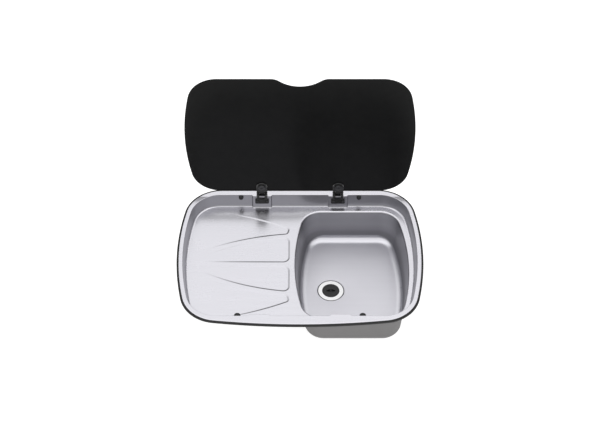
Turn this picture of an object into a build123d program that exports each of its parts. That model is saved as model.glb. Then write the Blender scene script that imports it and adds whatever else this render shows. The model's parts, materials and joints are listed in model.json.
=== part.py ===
"""Caravan kitchen sink with a drainer, one bowl and a folding glass lid.

Millimetres. The origin is the centre of the rim on the worktop's top face, X to the right along
the worktop, Y to the rear, Z up. The lid stands open, as it does in use.
"""
import os
from collections import namedtuple
from math import atan2, cos, degrees, radians, sin, sqrt, tan

from build123d import *

# ---------------------------------------------------------------- sheet and levels
sheet = 0.8  # stainless steel sheet that the sink is pressed from
rim_height = 6.0  # top of the flange above the worktop
tray_depth = 34.0  # flange down to the drainer deck
bowl_depth = 98.0  # drainer deck down to the bowl's floor

# ---------------------------------------------------------------- plan shapes
# half width, rear edge, front edge, radius of the bulged sides, corner radius, where the sides
# are widest, and the radius of the front edge where it bows outwards
Outline = namedtuple("Outline", "half_width rear front side_radius corner widest bow", defaults=[None])
widest_y = 10.0
flange = Outline(296.5, 216.5, -216.5, 687.0, 88.0, widest_y, 1750.0)
recess = Outline(286.0, 201.0, -190.5, 663.0, 74.0, widest_y)
bowl = Outline(138.5, 173.0, -168.0, 560.0, 50.0, 0.0)  # at the drainer deck
bowl_x = 127.0
bowl_foot = Outline(129.5, 169.5, -163.0, 552.0, 46.0, 0.0)  # at the bowl's floor
bowl_foot_x = 128.5

# ---------------------------------------------------------------- pressed radii and slopes
wall_angle = 11.0  # slope of the tray's wall
foot_radius = 5.0  # tray wall into deck
brow_radius = 1.5  # flange into tray wall
lip_radius = 6.0  # deck into bowl wall
bowl_foot_radius = 20.0
flange_lip = 3.0  # height of the flange's turned-down edge
flange_edge_radius = 2.0

# ---------------------------------------------------------------- bosses and drainer leaves
hinge_x = 96.0  # centre of each hinge and boss either side of the middle
boss_width = 52.0
boss_proud = 4.5
boss_side = 4.0  # sloping side of a boss
boss_foot_radius = 3.0
leaf_depth = 1.8  # depth of a drainer leaf at its bowl end
leaf_end_x = -27.0  # bowl end of the leaves
leaf_corner = 6.0
# each leaf as its inner edge, its outer edge and the line where its floor meets the deck, as
# points of x and distance from the middle line
inner_leaf = (
    [(leaf_end_x, 7.0), (-235.0, 7.0)],
    [(leaf_end_x, 87.0), (-132.0, 68.0), (-235.0, 27.0)],
    [(-240.0, 7.0), (-240.0, 27.0)],
)
outer_leaf = (
    [(leaf_end_x - 4.0, 99.5), (-123.0, 84.5), (-228.0, 48.5)],
    [(leaf_end_x, 117.5), (-101.0, 147.0), (-188.0, 170.0)],
    [(-232.8, 50.0), (-192.8, 171.5)],
)

# ---------------------------------------------------------------- rim seal
seal_overhang = 4.4  # beyond the flange's edge
seal_inside = 9.0  # under the flange
seal_edge_radius = 2.4
seal_gap = 0.1  # between the flange's turned-down edge and its groove
seal_groove = 2.4  # groove under the flange's edge

# ---------------------------------------------------------------- glass lid
glass = 4.0
lid_side_gap = 6.0  # between the closed lid and the recess
lid_rear_gap = 9.7
lid_length = 373.5
lid_corner = 72.0
lid_height_closed = 0.9  # closed lid's underside below the flange
glass_arris = 0.6
notch_radius = 80.0  # finger notch in the free edge
notch_depth = 23.6
notch_shoulder = 34.0

# ---------------------------------------------------------------- hinges
pin_radius = 2.0
pin_overhang = 0.6
running_gap = 0.05  # leaf knuckle round its pin, on the radius
knuckle_radius = 4.4
knuckle_rise = 0.55  # knuckle above the flange
hinge_width = 26.4
leaf_knuckle_width = 13.0
knuckle_side_gap = 0.3
axis_behind_glass = 13.25  # pin centre behind the closed lid's rear edge
neck_gap = 0.8  # hinge neck to the glass edge and to the boss
leaf_thickness = 3.0
pad = 0.5  # rubber pads either side of the glass
clamp_from_edge = 15.0  # clamp screw's centre from the lid's rear edge
edge_softening = 0.8  # rounded edges of the castings
base_width = 34.4
base_height = 12.5
base_thickness = 4.0
base_down = 8.0  # top of the base plate down the wall from the rim
base_screw_spacing = 23.6
base_corner = 2.5
base_screw_down = 14.25  # hinge screws down the wall from the rim
arm_start = 6.6  # where the arms leave the line of the wall
arm_lift_off = 2.5
arm_thickness = 4.9
over_flange = 0.4  # arms above the flange
sweep_gap = 0.7  # base to the neck's swing
screw_radius = 2.0
screw_head_radius = 3.9
screw_head_height = 2.2
screw_end = 1.2  # thread past the nut
backing_thickness = 2.5
nut_flats = 7.0
nut_height = 3.2
clamp_screw_radius = 2.5
clamp_head_radius = 8.5
clamp_head_height = 3.5
clamp_recess = 1.6
glass_hole_radius = 4.5
bush_gap = 0.1
cap_radius = 13.0
cap_thickness = 3.6
cap_rounding = 1.6
cap_skin = 1.0  # over the end of the clamp screw
screw_gap = 0.1  # screw in its hole, on the radius

# ---------------------------------------------------------------- lid buffers
buffer_stem_radius = 2.5
buffer_barb_radius = 4.2
buffer_barb_length = 3.5
rear_buffer_x = 149.0
rear_buffer_radius = 6.0
rear_buffer_length = 6.0
rear_buffer_down = 6.5
rear_buffer_rounding = 3.2
front_buffer_x = 148.0
front_buffer_radius = 7.75
front_buffer_length = 10.3
front_buffer_down = 9.6
front_buffer_rounding = 5.3

# ---------------------------------------------------------------- waste
drain_x = 77.0
drain_y = -3.0
seat_depth = 2.5
seat_rounding = 1.2
drain_hole_radius = 25.0
gasket_hole_gap = 0.5
gasket_width = 7.5
gasket_seat_gap = 0.5  # gasket to the wall of the pressed seat
waste_flange_inset = 1.2  # waste flange inside the gasket's edge
waste_sheet = 1.2
upper_gasket = 1.0
lower_gasket = 2.5
plug_radius = 21.2
plug_gap = 0.3  # plug to its seat
plug_taper = 1.2  # how much narrower the plug is at its foot
plug_depth = 8.0
plug_set_down = 0.6  # plug's face below the waste flange
plug_slot_length = 23.0
plug_slot_width = 9.0
plug_slot_depth = 4.5
plug_bar = 2.4
plug_pocket_radius = 7.0
plug_pocket_depth = 2.8
strainer_slots = 8
strainer_slot_length = 7.0
strainer_slot_width = 3.2
strainer_slot_circle = 12.5
centre_screw_radius = 3.0
centre_screw_head_radius = 5.5
centre_screw_head_height = 2.4
centre_screw_length = 14.0
head_rounding = 1.0
head_slot = 1.2
body_flange_thickness = 3.5
cup_radius = 26.5
cup_wall = 2.5
cup_depth = 24.0
cone_depth = 9.0
outlet_radius = 12.5
outlet_wall = 2.5
outlet_length = 24.0
outlet_chamfer = 1.0
spider_arms = 4
spider_arm_width = 3.0
spider_drop = 0.6  # spider below the strainer plate
spider_height = 9.0
spider_hub_radius = 7.5
insert_radius = 4.5
insert_height = 8.0
body_ribs = 6
body_rib_width = 3.0

# ---------------------------------------------------------------- worked out from the above
deck_z = rim_height - tray_depth
floor_z = deck_z - bowl_depth
seat_z = floor_z - seat_depth
glass_edge_y = recess.rear - lid_rear_gap
pin_y = glass_edge_y + axis_behind_glass
pin_z = rim_height + knuckle_rise + knuckle_radius
glass_below_pin = pin_z - (rim_height - lid_height_closed)
lid = Outline(
    recess.half_width - lid_side_gap,
    0.0,
    -lid_length,
    recess.side_radius - lid_side_gap,
    lid_corner,
    recess.widest - glass_edge_y,
)
base_front_y = glass_edge_y + neck_gap
leaf_far = glass_below_pin + pad + leaf_thickness
gasket_radius = drain_hole_radius + gasket_hole_gap + gasket_width
seat_radius = gasket_radius + gasket_seat_gap
waste_flange_radius = gasket_radius - waste_flange_inset
waste_top_z = seat_z + upper_gasket + waste_sheet
plug_top_z = waste_top_z - plug_set_down
strainer_z = plug_top_z - plug_depth - plug_gap
body_top_z = seat_z - sheet - lower_gasket
cup_floor_z = body_top_z - body_flange_thickness - cup_depth
outlet_top_z = cup_floor_z - cone_depth
outlet_end_z = outlet_top_z - outlet_length
hub_top_z = strainer_z - waste_sheet - spider_drop

cut_past = 3.0  # how far a cutting block runs past what it cuts
level_slack = 0.01
Point = namedtuple("Point", "x y")
slope_sin = sin(radians(wall_angle))
slope_cos = cos(radians(wall_angle))


# ---------------------------------------------------------------- shapes that several pieces share
def grown(shape, by):
    """The same outline, moved outwards all round."""
    bow = None if shape.bow is None else shape.bow + by
    return Outline(
        shape.half_width + by,
        shape.rear + by,
        shape.front - by,
        shape.side_radius + by,
        shape.corner + by,
        shape.widest,
        bow,
    )


def heading(start, end):
    """Direction from one point to another, in degrees."""
    return degrees(atan2(end.y - start.y, end.x - start.x))


def both_arcs(centre, radius, first, last):
    """An arc on the right and its mirror image on the left."""
    CenterArc((centre.x, centre.y), radius, first, last - first)
    CenterArc((-centre.x, centre.y), radius, 180 - first, first - last)


def circles_meet(one, one_radius, other, other_radius):
    """The right-hand point where two circles cross."""
    gap_x = other.x - one.x
    gap_y = other.y - one.y
    gap = sqrt(gap_x**2 + gap_y**2)
    along = (gap**2 + one_radius**2 - other_radius**2) / (2 * gap)
    across = sqrt(one_radius**2 - along**2)
    first = Point(
        one.x + (along * gap_x - across * gap_y) / gap,
        one.y + (along * gap_y + across * gap_x) / gap,
    )
    second = Point(
        one.x + (along * gap_x + across * gap_y) / gap,
        one.y + (along * gap_y - across * gap_x) / gap,
    )
    return max(first, second, key=lambda point: point.x)


def draw_outline(shape):
    """Draws an outline: each side, corner and edge runs smoothly into the next."""
    side = Point(shape.half_width - shape.side_radius, shape.widest)
    reach = shape.side_radius - shape.corner
    rear_y = shape.rear - shape.corner
    rear = Point(side.x + sqrt(reach**2 - (rear_y - side.y) ** 2), rear_y)
    if shape.bow is None:
        front_y = shape.front + shape.corner
        front = Point(side.x + sqrt(reach**2 - (front_y - side.y) ** 2), front_y)
        front_start = -90.0
        Line((-front.x, shape.front), (front.x, shape.front))
    else:
        bow = Point(0.0, shape.front + shape.bow)
        front = circles_meet(side, reach, bow, shape.bow - shape.corner)
        front_start = heading(bow, front)
        CenterArc((bow.x, bow.y), shape.bow, -180 - front_start, 2 * (front_start + 90))
    Line((-rear.x, shape.rear), (rear.x, shape.rear))
    both_arcs(rear, shape.corner, heading(side, rear), 90.0)
    both_arcs(side, shape.side_radius, heading(side, front), heading(side, rear))
    both_arcs(front, shape.corner, front_start, heading(side, front))


def outline_face(shape, plane):
    """A flat face of an outline, on a plane."""
    with BuildSketch(plane) as face:
        with BuildLine():
            draw_outline(shape)
        make_face()
    return face.sketch


def walls(part):
    """The faces of a part that stand up."""
    return part.faces().filter_by(lambda face: abs(face.normal_at().Z) < 0.5)


def wall_plane(x, end, proud, down):
    """Plane on the tray's rear (end 1) or front (end -1) wall, local z out of it, local y up it."""
    top = recess.rear if end > 0 else -recess.front
    return Plane(
        origin=(x, end * (top - proud - down * slope_sin), rim_height - down * slope_cos),
        x_dir=(end, 0, 0),
        z_dir=(0, -end * slope_cos, slope_sin),
    )


def boss_point(down, out):
    """Side view of a rear boss: a point down its slope and out from its face, as (Y, Z)."""
    y = recess.rear - boss_proud - down * slope_sin - out * slope_cos
    z = rim_height - down * slope_cos + out * slope_sin
    return (y, z)


def axis_plane(plane):
    """Plane through another plane's axis: local x is the radius, local y the height."""
    return Plane(origin=plane.origin, x_dir=plane.x_dir, z_dir=-plane.y_dir)


def turned(profile, plane):
    """A piece turned about a plane's axis from points of radius and height."""
    with BuildPart() as piece:
        with BuildSketch(axis_plane(plane)):
            with BuildLine():
                Polyline(*profile, close=True)
            make_face()
        revolve(axis=Axis(plane.origin, plane.z_dir))
    return piece


def save(part, name):
    """Labels a piece and writes it to its file."""
    part.label = name
    export_step(part, f"parts/{name}.step")
    print(name, len(part.solids()), round(part.volume, 1))


# ---------------------------------------------------------------- the pressed sink
def end_boss(end, x, grow):
    """Raised pad on an end wall with sloping sides and a rounded foot, as one skin of the sheet."""
    top = recess.rear if end > 0 else -recess.front
    half = boss_width / 2 - grow
    rise = cut_past * tan(radians(wall_angle))
    face_y = top - boss_proud + grow / slope_cos
    back_y = top + boss_proud
    foot_z = deck_z - grow
    foot_y = face_y - (rim_height - foot_z) * tan(radians(wall_angle))
    run = (boss_foot_radius + grow) * tan(radians(45 - wall_angle / 2))
    with BuildPart() as boss:
        with BuildSketch(Plane.XY.offset(rim_height + cut_past)):
            with BuildLine():
                Polyline(
                    (x - half + boss_side, face_y + rise),
                    (x + half - boss_side, face_y + rise),
                    (x + half, face_y + boss_proud + rise),
                    (x + half, back_y + rise),
                    (x - half, back_y + rise),
                    (x - half, face_y + boss_proud + rise),
                    close=True,
                )
            make_face()
        extrude(amount=(tray_depth + 3 * cut_past) / slope_cos, dir=(0, -slope_sin, -slope_cos))
        with BuildSketch(Plane.YZ.offset(x)):
            with BuildLine():
                low = (foot_y - run, foot_z)
                high = (foot_y + run * slope_sin, foot_z + run * slope_cos)
                TangentArc(low, high, tangent=(1, 0))
                Polyline(high, (foot_y, foot_z), low)
            make_face()
        extrude(amount=half - boss_side, both=True)
    return boss.part if end > 0 else mirror(boss.part, about=Plane.XZ)


def leaf_edge(points):
    """A leaf's long edge: straight through two points, bowed through three."""
    return Line(*points) if len(points) == 2 else ThreePointArc(*points)


def drainer_leaf(inner_edge, outer_edge, fade, side, grow):
    """One sunk leaf of the drainer, whose floor rises into the deck along a line."""
    below = Plane.XY.offset(deck_z - grow - leaf_depth - cut_past)
    with BuildPart() as leaf:
        with BuildSketch(below) as plan:
            with BuildLine():
                inner = leaf_edge([(x, side * y) for x, y in inner_edge])
                outer = leaf_edge([(x, side * y) for x, y in outer_edge])
                Line(inner @ 0, outer @ 0)
                Line(inner @ 1, outer @ 1)
            make_face()
            fillet(plan.vertices().sort_by(Axis.X)[-2:], radius=leaf_corner)
            if grow:
                offset(amount=grow)
        extrude(amount=leaf_depth + 2 * cut_past)
        near, far = [Vector(x, side * y, deck_z - grow) for x, y in fade]
        deepest = Vector(leaf_end_x, side * outer_edge[0][1], deck_z - grow - leaf_depth)
        upward = side * (deepest - near).cross(far - near)
        split(bisect_by=Plane(origin=near, x_dir=far - near, z_dir=upward), keep=Keep.TOP)
    return leaf.part


def bowl_form(grow):
    """The bowl as a solid block, as one skin of the sheet."""
    top = Plane((bowl_x, 0, deck_z - grow))
    with BuildPart() as form:
        foot = outline_face(grown(bowl_foot, grow), Plane((bowl_foot_x, 0, floor_z - grow)))
        loft([outline_face(grown(bowl, grow), top), foot], ruled=True)
        fillet(form.edges().group_by(Axis.Z)[0], radius=bowl_foot_radius + grow)
        with Locations((drain_x, drain_y, seat_z - grow)):
            Cylinder(seat_radius + grow, seat_depth, align=(Align.CENTER, Align.CENTER, Align.MIN))
        seat_edge = form.edges().filter_by(GeomType.CIRCLE).filter_by_position(
            Axis.Z, floor_z - grow - level_slack, floor_z - grow + level_slack
        )
        fillet(seat_edge.sort_by_distance((drain_x, drain_y, floor_z))[0], radius=seat_rounding - grow / 2)
    return form.part


def pressed_form(grow):
    """The whole pressing below the flange as a solid block, as one skin of the sheet."""
    rim = Plane.XY.offset(rim_height)
    bosses = [end_boss(end, side * hinge_x, grow) for end in (1, -1) for side in (1, -1)]
    leaves = [
        drainer_leaf(inner, outer, fade, side, grow)
        for inner, outer, fade in (inner_leaf, outer_leaf)
        for side in (1, -1)
    ]
    with BuildPart() as form:
        extrude(outline_face(grown(recess, grow), rim), amount=-(tray_depth + grow))
        draft(walls(form), rim, -wall_angle)
        fillet(form.edges().group_by(Axis.Z)[0], radius=foot_radius + grow)
        add(bowl_form(grow))
        deck_edges = form.edges().filter_by_position(
            Axis.Z, deck_z - grow - level_slack, deck_z - grow + level_slack
        )
        lip = deck_edges.filter_by(
            lambda edge: abs(edge.center().X - bowl_x) < bowl.half_width + lip_radius / 2
            and abs(edge.center().Y) < bowl.rear + lip_radius / 2
        )
        fillet(lip, radius=lip_radius - grow)
        for boss in bosses:
            add(boss, mode=Mode.SUBTRACT)
        for leaf in leaves:
            add(leaf)
    return form.part


def flange_block(inset):
    """The flange with its rounded edge as a solid block, as one skin of the sheet."""
    with BuildPart() as block:
        foot = Plane.XY.offset(rim_height - flange_lip)
        extrude(outline_face(grown(flange, -inset), foot), amount=flange_lip - inset)
        fillet(block.edges().group_by(Axis.Z)[-1], radius=flange_edge_radius - inset)
    return block.part


outer_form = pressed_form(sheet)
inner_form = pressed_form(0.0)
with BuildPart() as sink_shell:
    add(flange_block(0.0))
    add(flange_block(sheet), mode=Mode.SUBTRACT)
    add(outer_form)
    add(inner_form, mode=Mode.SUBTRACT)
    top_face = sink_shell.faces().filter_by(Axis.Z).group_by(Axis.Z)[-1][0]
    fillet(top_face.inner_wires()[0].edges(), radius=brow_radius)
    with Locations((drain_x, drain_y, seat_z)):
        Cylinder(drain_hole_radius, 4 * sheet, mode=Mode.SUBTRACT)
    for side in (1, -1):
        with BuildSketch(wall_plane(side * hinge_x, 1, boss_proud, base_screw_down)):
            with GridLocations(base_screw_spacing, 0, 2, 1):
                Circle(screw_radius + screw_gap)
        extrude(amount=2 * sheet, both=True, mode=Mode.SUBTRACT)
        with BuildSketch(wall_plane(side * rear_buffer_x, 1, 0, rear_buffer_down)):
            Circle(buffer_stem_radius)
        extrude(amount=2 * sheet, both=True, mode=Mode.SUBTRACT)
        with BuildSketch(wall_plane(side * front_buffer_x, -1, 0, front_buffer_down)):
            Circle(buffer_stem_radius)
        extrude(amount=2 * sheet, both=True, mode=Mode.SUBTRACT)
save(sink_shell.part, "sink_shell")

with BuildPart() as rim_seal:
    extrude(outline_face(grown(flange, seal_overhang), Plane.XY), amount=rim_height - sheet)
    fillet(rim_seal.edges().group_by(Axis.Z)[-1], radius=seal_edge_radius)
    extrude(outline_face(grown(flange, -seal_inside), Plane.XY), amount=rim_height, mode=Mode.SUBTRACT)
    with BuildSketch(Plane.XY.offset(rim_height - flange_lip - seal_gap)):
        add(outline_face(grown(flange, seal_gap), Plane.XY))
        add(outline_face(grown(flange, -seal_groove), Plane.XY), mode=Mode.SUBTRACT)
    extrude(amount=flange_lip, mode=Mode.SUBTRACT)
save(rim_seal.part, "rim_seal")


# ---------------------------------------------------------------- glass lid
lid_plane = Plane(
    origin=(0, pin_y - glass_below_pin, pin_z + axis_behind_glass), x_dir=(1, 0, 0), z_dir=(0, 1, 0)
)
with BuildPart() as glass_lid:
    with BuildSketch(lid_plane) as lid_shape:
        with BuildLine():
            draw_outline(lid)
        make_face()
        with Locations((0, -lid_length + notch_depth - notch_radius)):
            Circle(notch_radius, mode=Mode.SUBTRACT)
        shoulders = lid_shape.vertices().filter_by(
            lambda corner: abs(corner.X) < notch_radius and corner.Y < glass - lid_length
        )
        fillet(shoulders, radius=notch_shoulder)
        with Locations((-hinge_x, -clamp_from_edge), (hinge_x, -clamp_from_edge)):
            Circle(glass_hole_radius, mode=Mode.SUBTRACT)
    extrude(amount=glass)
    rims = glass_lid.faces().filter_by(Axis.Y).edges()
    chamfer(rims, length=glass_arris)
save(glass_lid.part, "glass_lid")


# ---------------------------------------------------------------- hinges
def hinge_base(x):
    """Bracket screwed to the boss: a plate on the wall and two arms that reach over the flange."""
    top = rim_height + glass_below_pin / 2
    back = glass_edge_y + neck_gap + arm_thickness
    with BuildPart() as base:
        with BuildSketch(wall_plane(x, 1, boss_proud, base_down)):
            with Locations((0, -base_height / 2)):
                RectangleRounded(base_width, base_height, base_corner)
        extrude(amount=base_thickness)
        fillet(base.faces().sort_by(Axis.Y)[0].edges(), radius=edge_softening)
        with BuildSketch(Plane.YZ.offset(x)):
            with BuildLine():
                Polyline(
                    boss_point(base_down + base_corner, 0),
                    boss_point(base_down + base_corner, base_thickness),
                    boss_point(arm_start, base_thickness),
                    (base_front_y, boss_point(arm_start, base_thickness)[1] + neck_gap),
                    (base_front_y, top),
                    (back, top),
                    (back, rim_height + over_flange),
                    (back - brow_radius, rim_height + over_flange),
                    boss_point(arm_lift_off, 0),
                    close=True,
                )
            make_face()
            with BuildSketch(mode=Mode.PRIVATE) as knuckle:
                with Locations((pin_y, pin_z)):
                    Circle(knuckle_radius)
                with BuildLine():
                    Polyline(
                        (base_front_y, top),
                        (base_front_y, rim_height + over_flange),
                        (pin_y, pin_z - knuckle_radius),
                        close=True,
                    )
                make_face()
            make_hull(knuckle.sketch.edges())
        extrude(amount=hinge_width / 2, both=True)
        with BuildSketch(Plane.YZ.offset(x)):
            with Locations((pin_y, pin_z)):
                Circle(sqrt(axis_behind_glass**2 + leaf_far**2) + sweep_gap)
        extrude(amount=leaf_knuckle_width / 2 + knuckle_side_gap, both=True, mode=Mode.SUBTRACT)
        with BuildSketch(Plane.YZ.offset(x)):
            with Locations((pin_y, pin_z)):
                Circle(pin_radius)
        extrude(amount=hinge_width, both=True, mode=Mode.SUBTRACT)
        with BuildSketch(wall_plane(x, 1, boss_proud, base_screw_down)):
            with GridLocations(base_screw_spacing, 0, 2, 1):
                Circle(screw_radius + screw_gap)
        extrude(amount=2 * base_thickness, both=True, mode=Mode.SUBTRACT)
    return base.part


def leaf_plan(x, plane, inset):
    """Arch-shaped plan of a hinge leaf on the glass, with its screw hole."""
    radius = hinge_width / 2 - inset
    with BuildSketch(plane) as plan:
        with Locations((x, -clamp_from_edge)):
            Circle(radius)
            Rectangle(2 * radius, clamp_from_edge - inset, align=(Align.CENTER, Align.MIN))
            Circle(clamp_screw_radius + screw_gap, mode=Mode.SUBTRACT)
    return plan.sketch


def hinge_leaf(x):
    """Arm under the glass, with a neck that drops between the glass and the boss to the pin."""
    neck_front = axis_behind_glass - neck_gap
    low_back = pin_y - boss_point((leaf_far - (pin_z - rim_height)) / slope_cos, 0)[0] + neck_gap
    high_back = pin_y - (recess.rear - boss_proud) + neck_gap
    leaf_near = glass_below_pin + pad
    side_view = Plane(origin=(x, pin_y, pin_z), x_dir=(0, 0, 1), z_dir=(-1, 0, 0))
    with BuildPart() as leaf:
        extrude(leaf_plan(x, lid_plane.offset(-pad), 0), amount=-leaf_thickness)
        fillet(leaf.faces().sort_by(Axis.Y)[0].outer_wire().edges(), radius=edge_softening)
        with BuildSketch(side_view):
            with BuildLine():
                Polyline(
                    (axis_behind_glass + leaf_thickness, -leaf_far),
                    (low_back, -leaf_far),
                    (high_back, -knuckle_radius),
                    (0, -knuckle_radius),
                    (0, knuckle_radius),
                    (neck_front, 0),
                    (neck_front, -leaf_near),
                    (axis_behind_glass + leaf_thickness, -leaf_near),
                    close=True,
                )
            make_face()
            Circle(knuckle_radius)
            Circle(pin_radius + running_gap, mode=Mode.SUBTRACT)
        extrude(amount=leaf_knuckle_width / 2, both=True)
    return leaf.part


def disc(plane, radius, height, hole=0.0, rounding=0.0):
    """Round plate on a plane, with an optional hole and a rounded far edge."""
    with BuildPart() as plate:
        with BuildSketch(plane):
            Circle(radius)
            if hole:
                Circle(hole, mode=Mode.SUBTRACT)
        extrude(amount=height)
        if rounding:
            far = plate.faces().sort_by(Axis(plane.origin, plane.z_dir))[-1]
            fillet(far.outer_wire().edges(), radius=rounding)
    return plate.part


def clamp_screw(x):
    """Screw through the leaf and the glass, with a round head and a driver recess."""
    under_leaf = lid_plane.offset(-pad - leaf_thickness)
    spot = under_leaf.from_local_coords(Vector(x, -clamp_from_edge, 0))
    outwards = Plane(origin=spot, x_dir=(1, 0, 0), z_dir=(0, -1, 0))
    reach = leaf_thickness + pad + glass + pad + cap_thickness - cap_skin
    with BuildPart() as screw:
        add(disc(outwards, clamp_head_radius, clamp_head_height, rounding=clamp_head_height / 2))
        with BuildSketch(outwards):
            Circle(clamp_screw_radius)
        extrude(amount=-reach)
        with BuildSketch(outwards.offset(clamp_head_height)):
            Rectangle(clamp_head_radius, clamp_recess)
            Rectangle(clamp_recess, clamp_head_radius)
        extrude(amount=-clamp_recess, mode=Mode.SUBTRACT)
    return screw.part


def hinge_cap(x):
    """Round nut on the lid's outer face that the clamp screw threads into."""
    spot = lid_plane.offset(glass + pad).from_local_coords(Vector(x, -clamp_from_edge, 0))
    outwards = Plane(origin=spot, x_dir=(1, 0, 0), z_dir=(0, 1, 0))
    with BuildPart() as cap:
        add(disc(outwards, cap_radius, cap_thickness, rounding=cap_rounding))
        with BuildSketch(outwards):
            Circle(clamp_screw_radius)
        extrude(amount=cap_thickness - cap_skin, mode=Mode.SUBTRACT)
    return cap.part


def backing_plate(x):
    """Spreader plate behind the boss, with two screw holes."""
    behind = wall_plane(x, 1, boss_proud, base_screw_down).offset(-sheet)
    with BuildPart() as plate:
        with BuildSketch(behind):
            RectangleRounded(base_width, base_height, base_corner)
            with GridLocations(base_screw_spacing, 0, 2, 1):
                Circle(screw_radius + screw_gap, mode=Mode.SUBTRACT)
        extrude(amount=-backing_thickness)
    return plate.part


def base_screws():
    """Four machine screws that hold the hinge bases."""
    shank = base_thickness + sheet + backing_thickness + nut_height + screw_end
    with BuildPart() as screws:
        for side in (1, -1):
            front = wall_plane(side * hinge_x, 1, boss_proud, base_screw_down).offset(base_thickness)
            with BuildSketch(front):
                with GridLocations(base_screw_spacing, 0, 2, 1):
                    Circle(screw_head_radius)
            extrude(amount=screw_head_height)
            with BuildSketch(front):
                with GridLocations(base_screw_spacing, 0, 2, 1):
                    Circle(screw_radius)
            extrude(amount=-shank)
    return screws.part


def base_nuts():
    """Four hexagon nuts behind the backing plates."""
    with BuildPart() as nuts:
        for side in (1, -1):
            behind = wall_plane(side * hinge_x, 1, boss_proud, base_screw_down)
            with BuildSketch(behind.offset(-sheet - backing_thickness)):
                with GridLocations(base_screw_spacing, 0, 2, 1):
                    RegularPolygon(nut_flats / 2, 6, major_radius=False)
                    Circle(screw_radius, mode=Mode.SUBTRACT)
            extrude(amount=-nut_height)
    return nuts.part


def hinge_pin(x):
    """Steel pin through the base's two arms and the leaf's knuckle."""
    with BuildPart() as pin:
        with BuildSketch(Plane.YZ.offset(x)):
            with Locations((pin_y, pin_z)):
                Circle(pin_radius)
        extrude(amount=hinge_width / 2 + pin_overhang, both=True)
        chamfer(pin.edges().filter_by(GeomType.CIRCLE), length=pin_overhang / 2)
    return pin.part


for side, name in ((-1, "left"), (1, "right")):
    place_x = side * hinge_x
    hole_spot = lid_plane.offset(glass).from_local_coords(Vector(place_x, -clamp_from_edge, 0))
    outer_face = Plane(origin=hole_spot, x_dir=(1, 0, 0), z_dir=(0, 1, 0))
    save(hinge_base(place_x), f"hinge_base_{name}")
    save(backing_plate(place_x), f"backing_plate_{name}")
    save(hinge_pin(place_x), f"hinge_pin_{name}")
    save(hinge_leaf(place_x), f"hinge_leaf_{name}")
    with BuildPart() as leaf_pad:
        extrude(leaf_plan(place_x, lid_plane, pad), amount=-pad)
    save(leaf_pad.part, f"leaf_pad_{name}")
    save(disc(outer_face, cap_radius - pad, pad, hole=clamp_screw_radius + screw_gap), f"cap_pad_{name}")
    save(hinge_cap(place_x), f"hinge_cap_{name}")

with BuildPart() as clamp_screws:
    for side in (1, -1):
        add(clamp_screw(side * hinge_x))
save(clamp_screws.part, "clamp_screws")
with BuildPart() as glass_bushes:
    with BuildSketch(lid_plane):
        with Locations((-hinge_x, -clamp_from_edge), (hinge_x, -clamp_from_edge)):
            Circle(glass_hole_radius - bush_gap)
            Circle(clamp_screw_radius + screw_gap, mode=Mode.SUBTRACT)
    extrude(amount=glass)
save(glass_bushes.part, "glass_bushes")
save(base_screws(), "base_screws")
save(base_nuts(), "base_nuts")


# ---------------------------------------------------------------- lid buffers
def buffer(plane, radius, length, rounding):
    """Rubber button pushed through the wall: a round head, a stem and a barb behind the sheet."""
    behind = -sheet
    profile = [
        (0, length),
        (radius, length),
        (radius, 0),
        (buffer_stem_radius, 0),
        (buffer_stem_radius, behind),
        (buffer_barb_radius, behind),
        (buffer_stem_radius / 2, behind - buffer_barb_length),
        (0, behind - buffer_barb_length),
    ]
    with BuildPart() as button:
        add(turned(profile, plane).part)
        front = button.faces().sort_by(Axis(plane.origin, plane.z_dir))[-1]
        fillet(front.edges(), radius=rounding)
    return button.part


for side, name in ((-1, "left"), (1, "right")):
    rear_spot = wall_plane(side * rear_buffer_x, 1, 0, rear_buffer_down)
    front_spot = wall_plane(side * front_buffer_x, -1, 0, front_buffer_down)
    rear = buffer(rear_spot, rear_buffer_radius, rear_buffer_length, rear_buffer_rounding)
    front = buffer(front_spot, front_buffer_radius, front_buffer_length, front_buffer_rounding)
    save(rear, f"rear_buffer_{name}")
    save(front, f"front_buffer_{name}")


# ---------------------------------------------------------------- waste and plug
drain_axis = Plane((drain_x, drain_y, 0))
mouth_radius = plug_radius + plug_gap
with BuildPart() as waste_flange:
    flange_profile = [
        (centre_screw_radius + screw_gap, strainer_z),
        (mouth_radius - plug_taper, strainer_z),
        (mouth_radius, waste_top_z),
        (waste_flange_radius, waste_top_z),
        (waste_flange_radius, waste_top_z - waste_sheet),
        (mouth_radius + waste_sheet, waste_top_z - waste_sheet),
        (mouth_radius - plug_taper + waste_sheet, strainer_z - waste_sheet),
        (centre_screw_radius + screw_gap, strainer_z - waste_sheet),
    ]
    add(turned(flange_profile, drain_axis).part)
    with BuildSketch(Plane((drain_x, drain_y, strainer_z - waste_sheet))):
        with PolarLocations(strainer_slot_circle, strainer_slots):
            SlotOverall(strainer_slot_length, strainer_slot_width)
    extrude(amount=waste_sheet, mode=Mode.SUBTRACT)
    top_edges = waste_flange.edges().filter_by(GeomType.CIRCLE).group_by(Axis.Z)[-1]
    fillet(top_edges, radius=waste_sheet / 2)
save(waste_flange.part, "waste_flange")


def drain_ring(top_z, height):
    """Flat rubber ring round the drain hole."""
    plane = Plane((drain_x, drain_y, top_z - height))
    return disc(plane, gasket_radius, height, hole=drain_hole_radius + gasket_hole_gap)


save(drain_ring(seat_z + upper_gasket, upper_gasket), "upper_gasket")
save(drain_ring(seat_z - sheet, lower_gasket), "lower_gasket")

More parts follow.
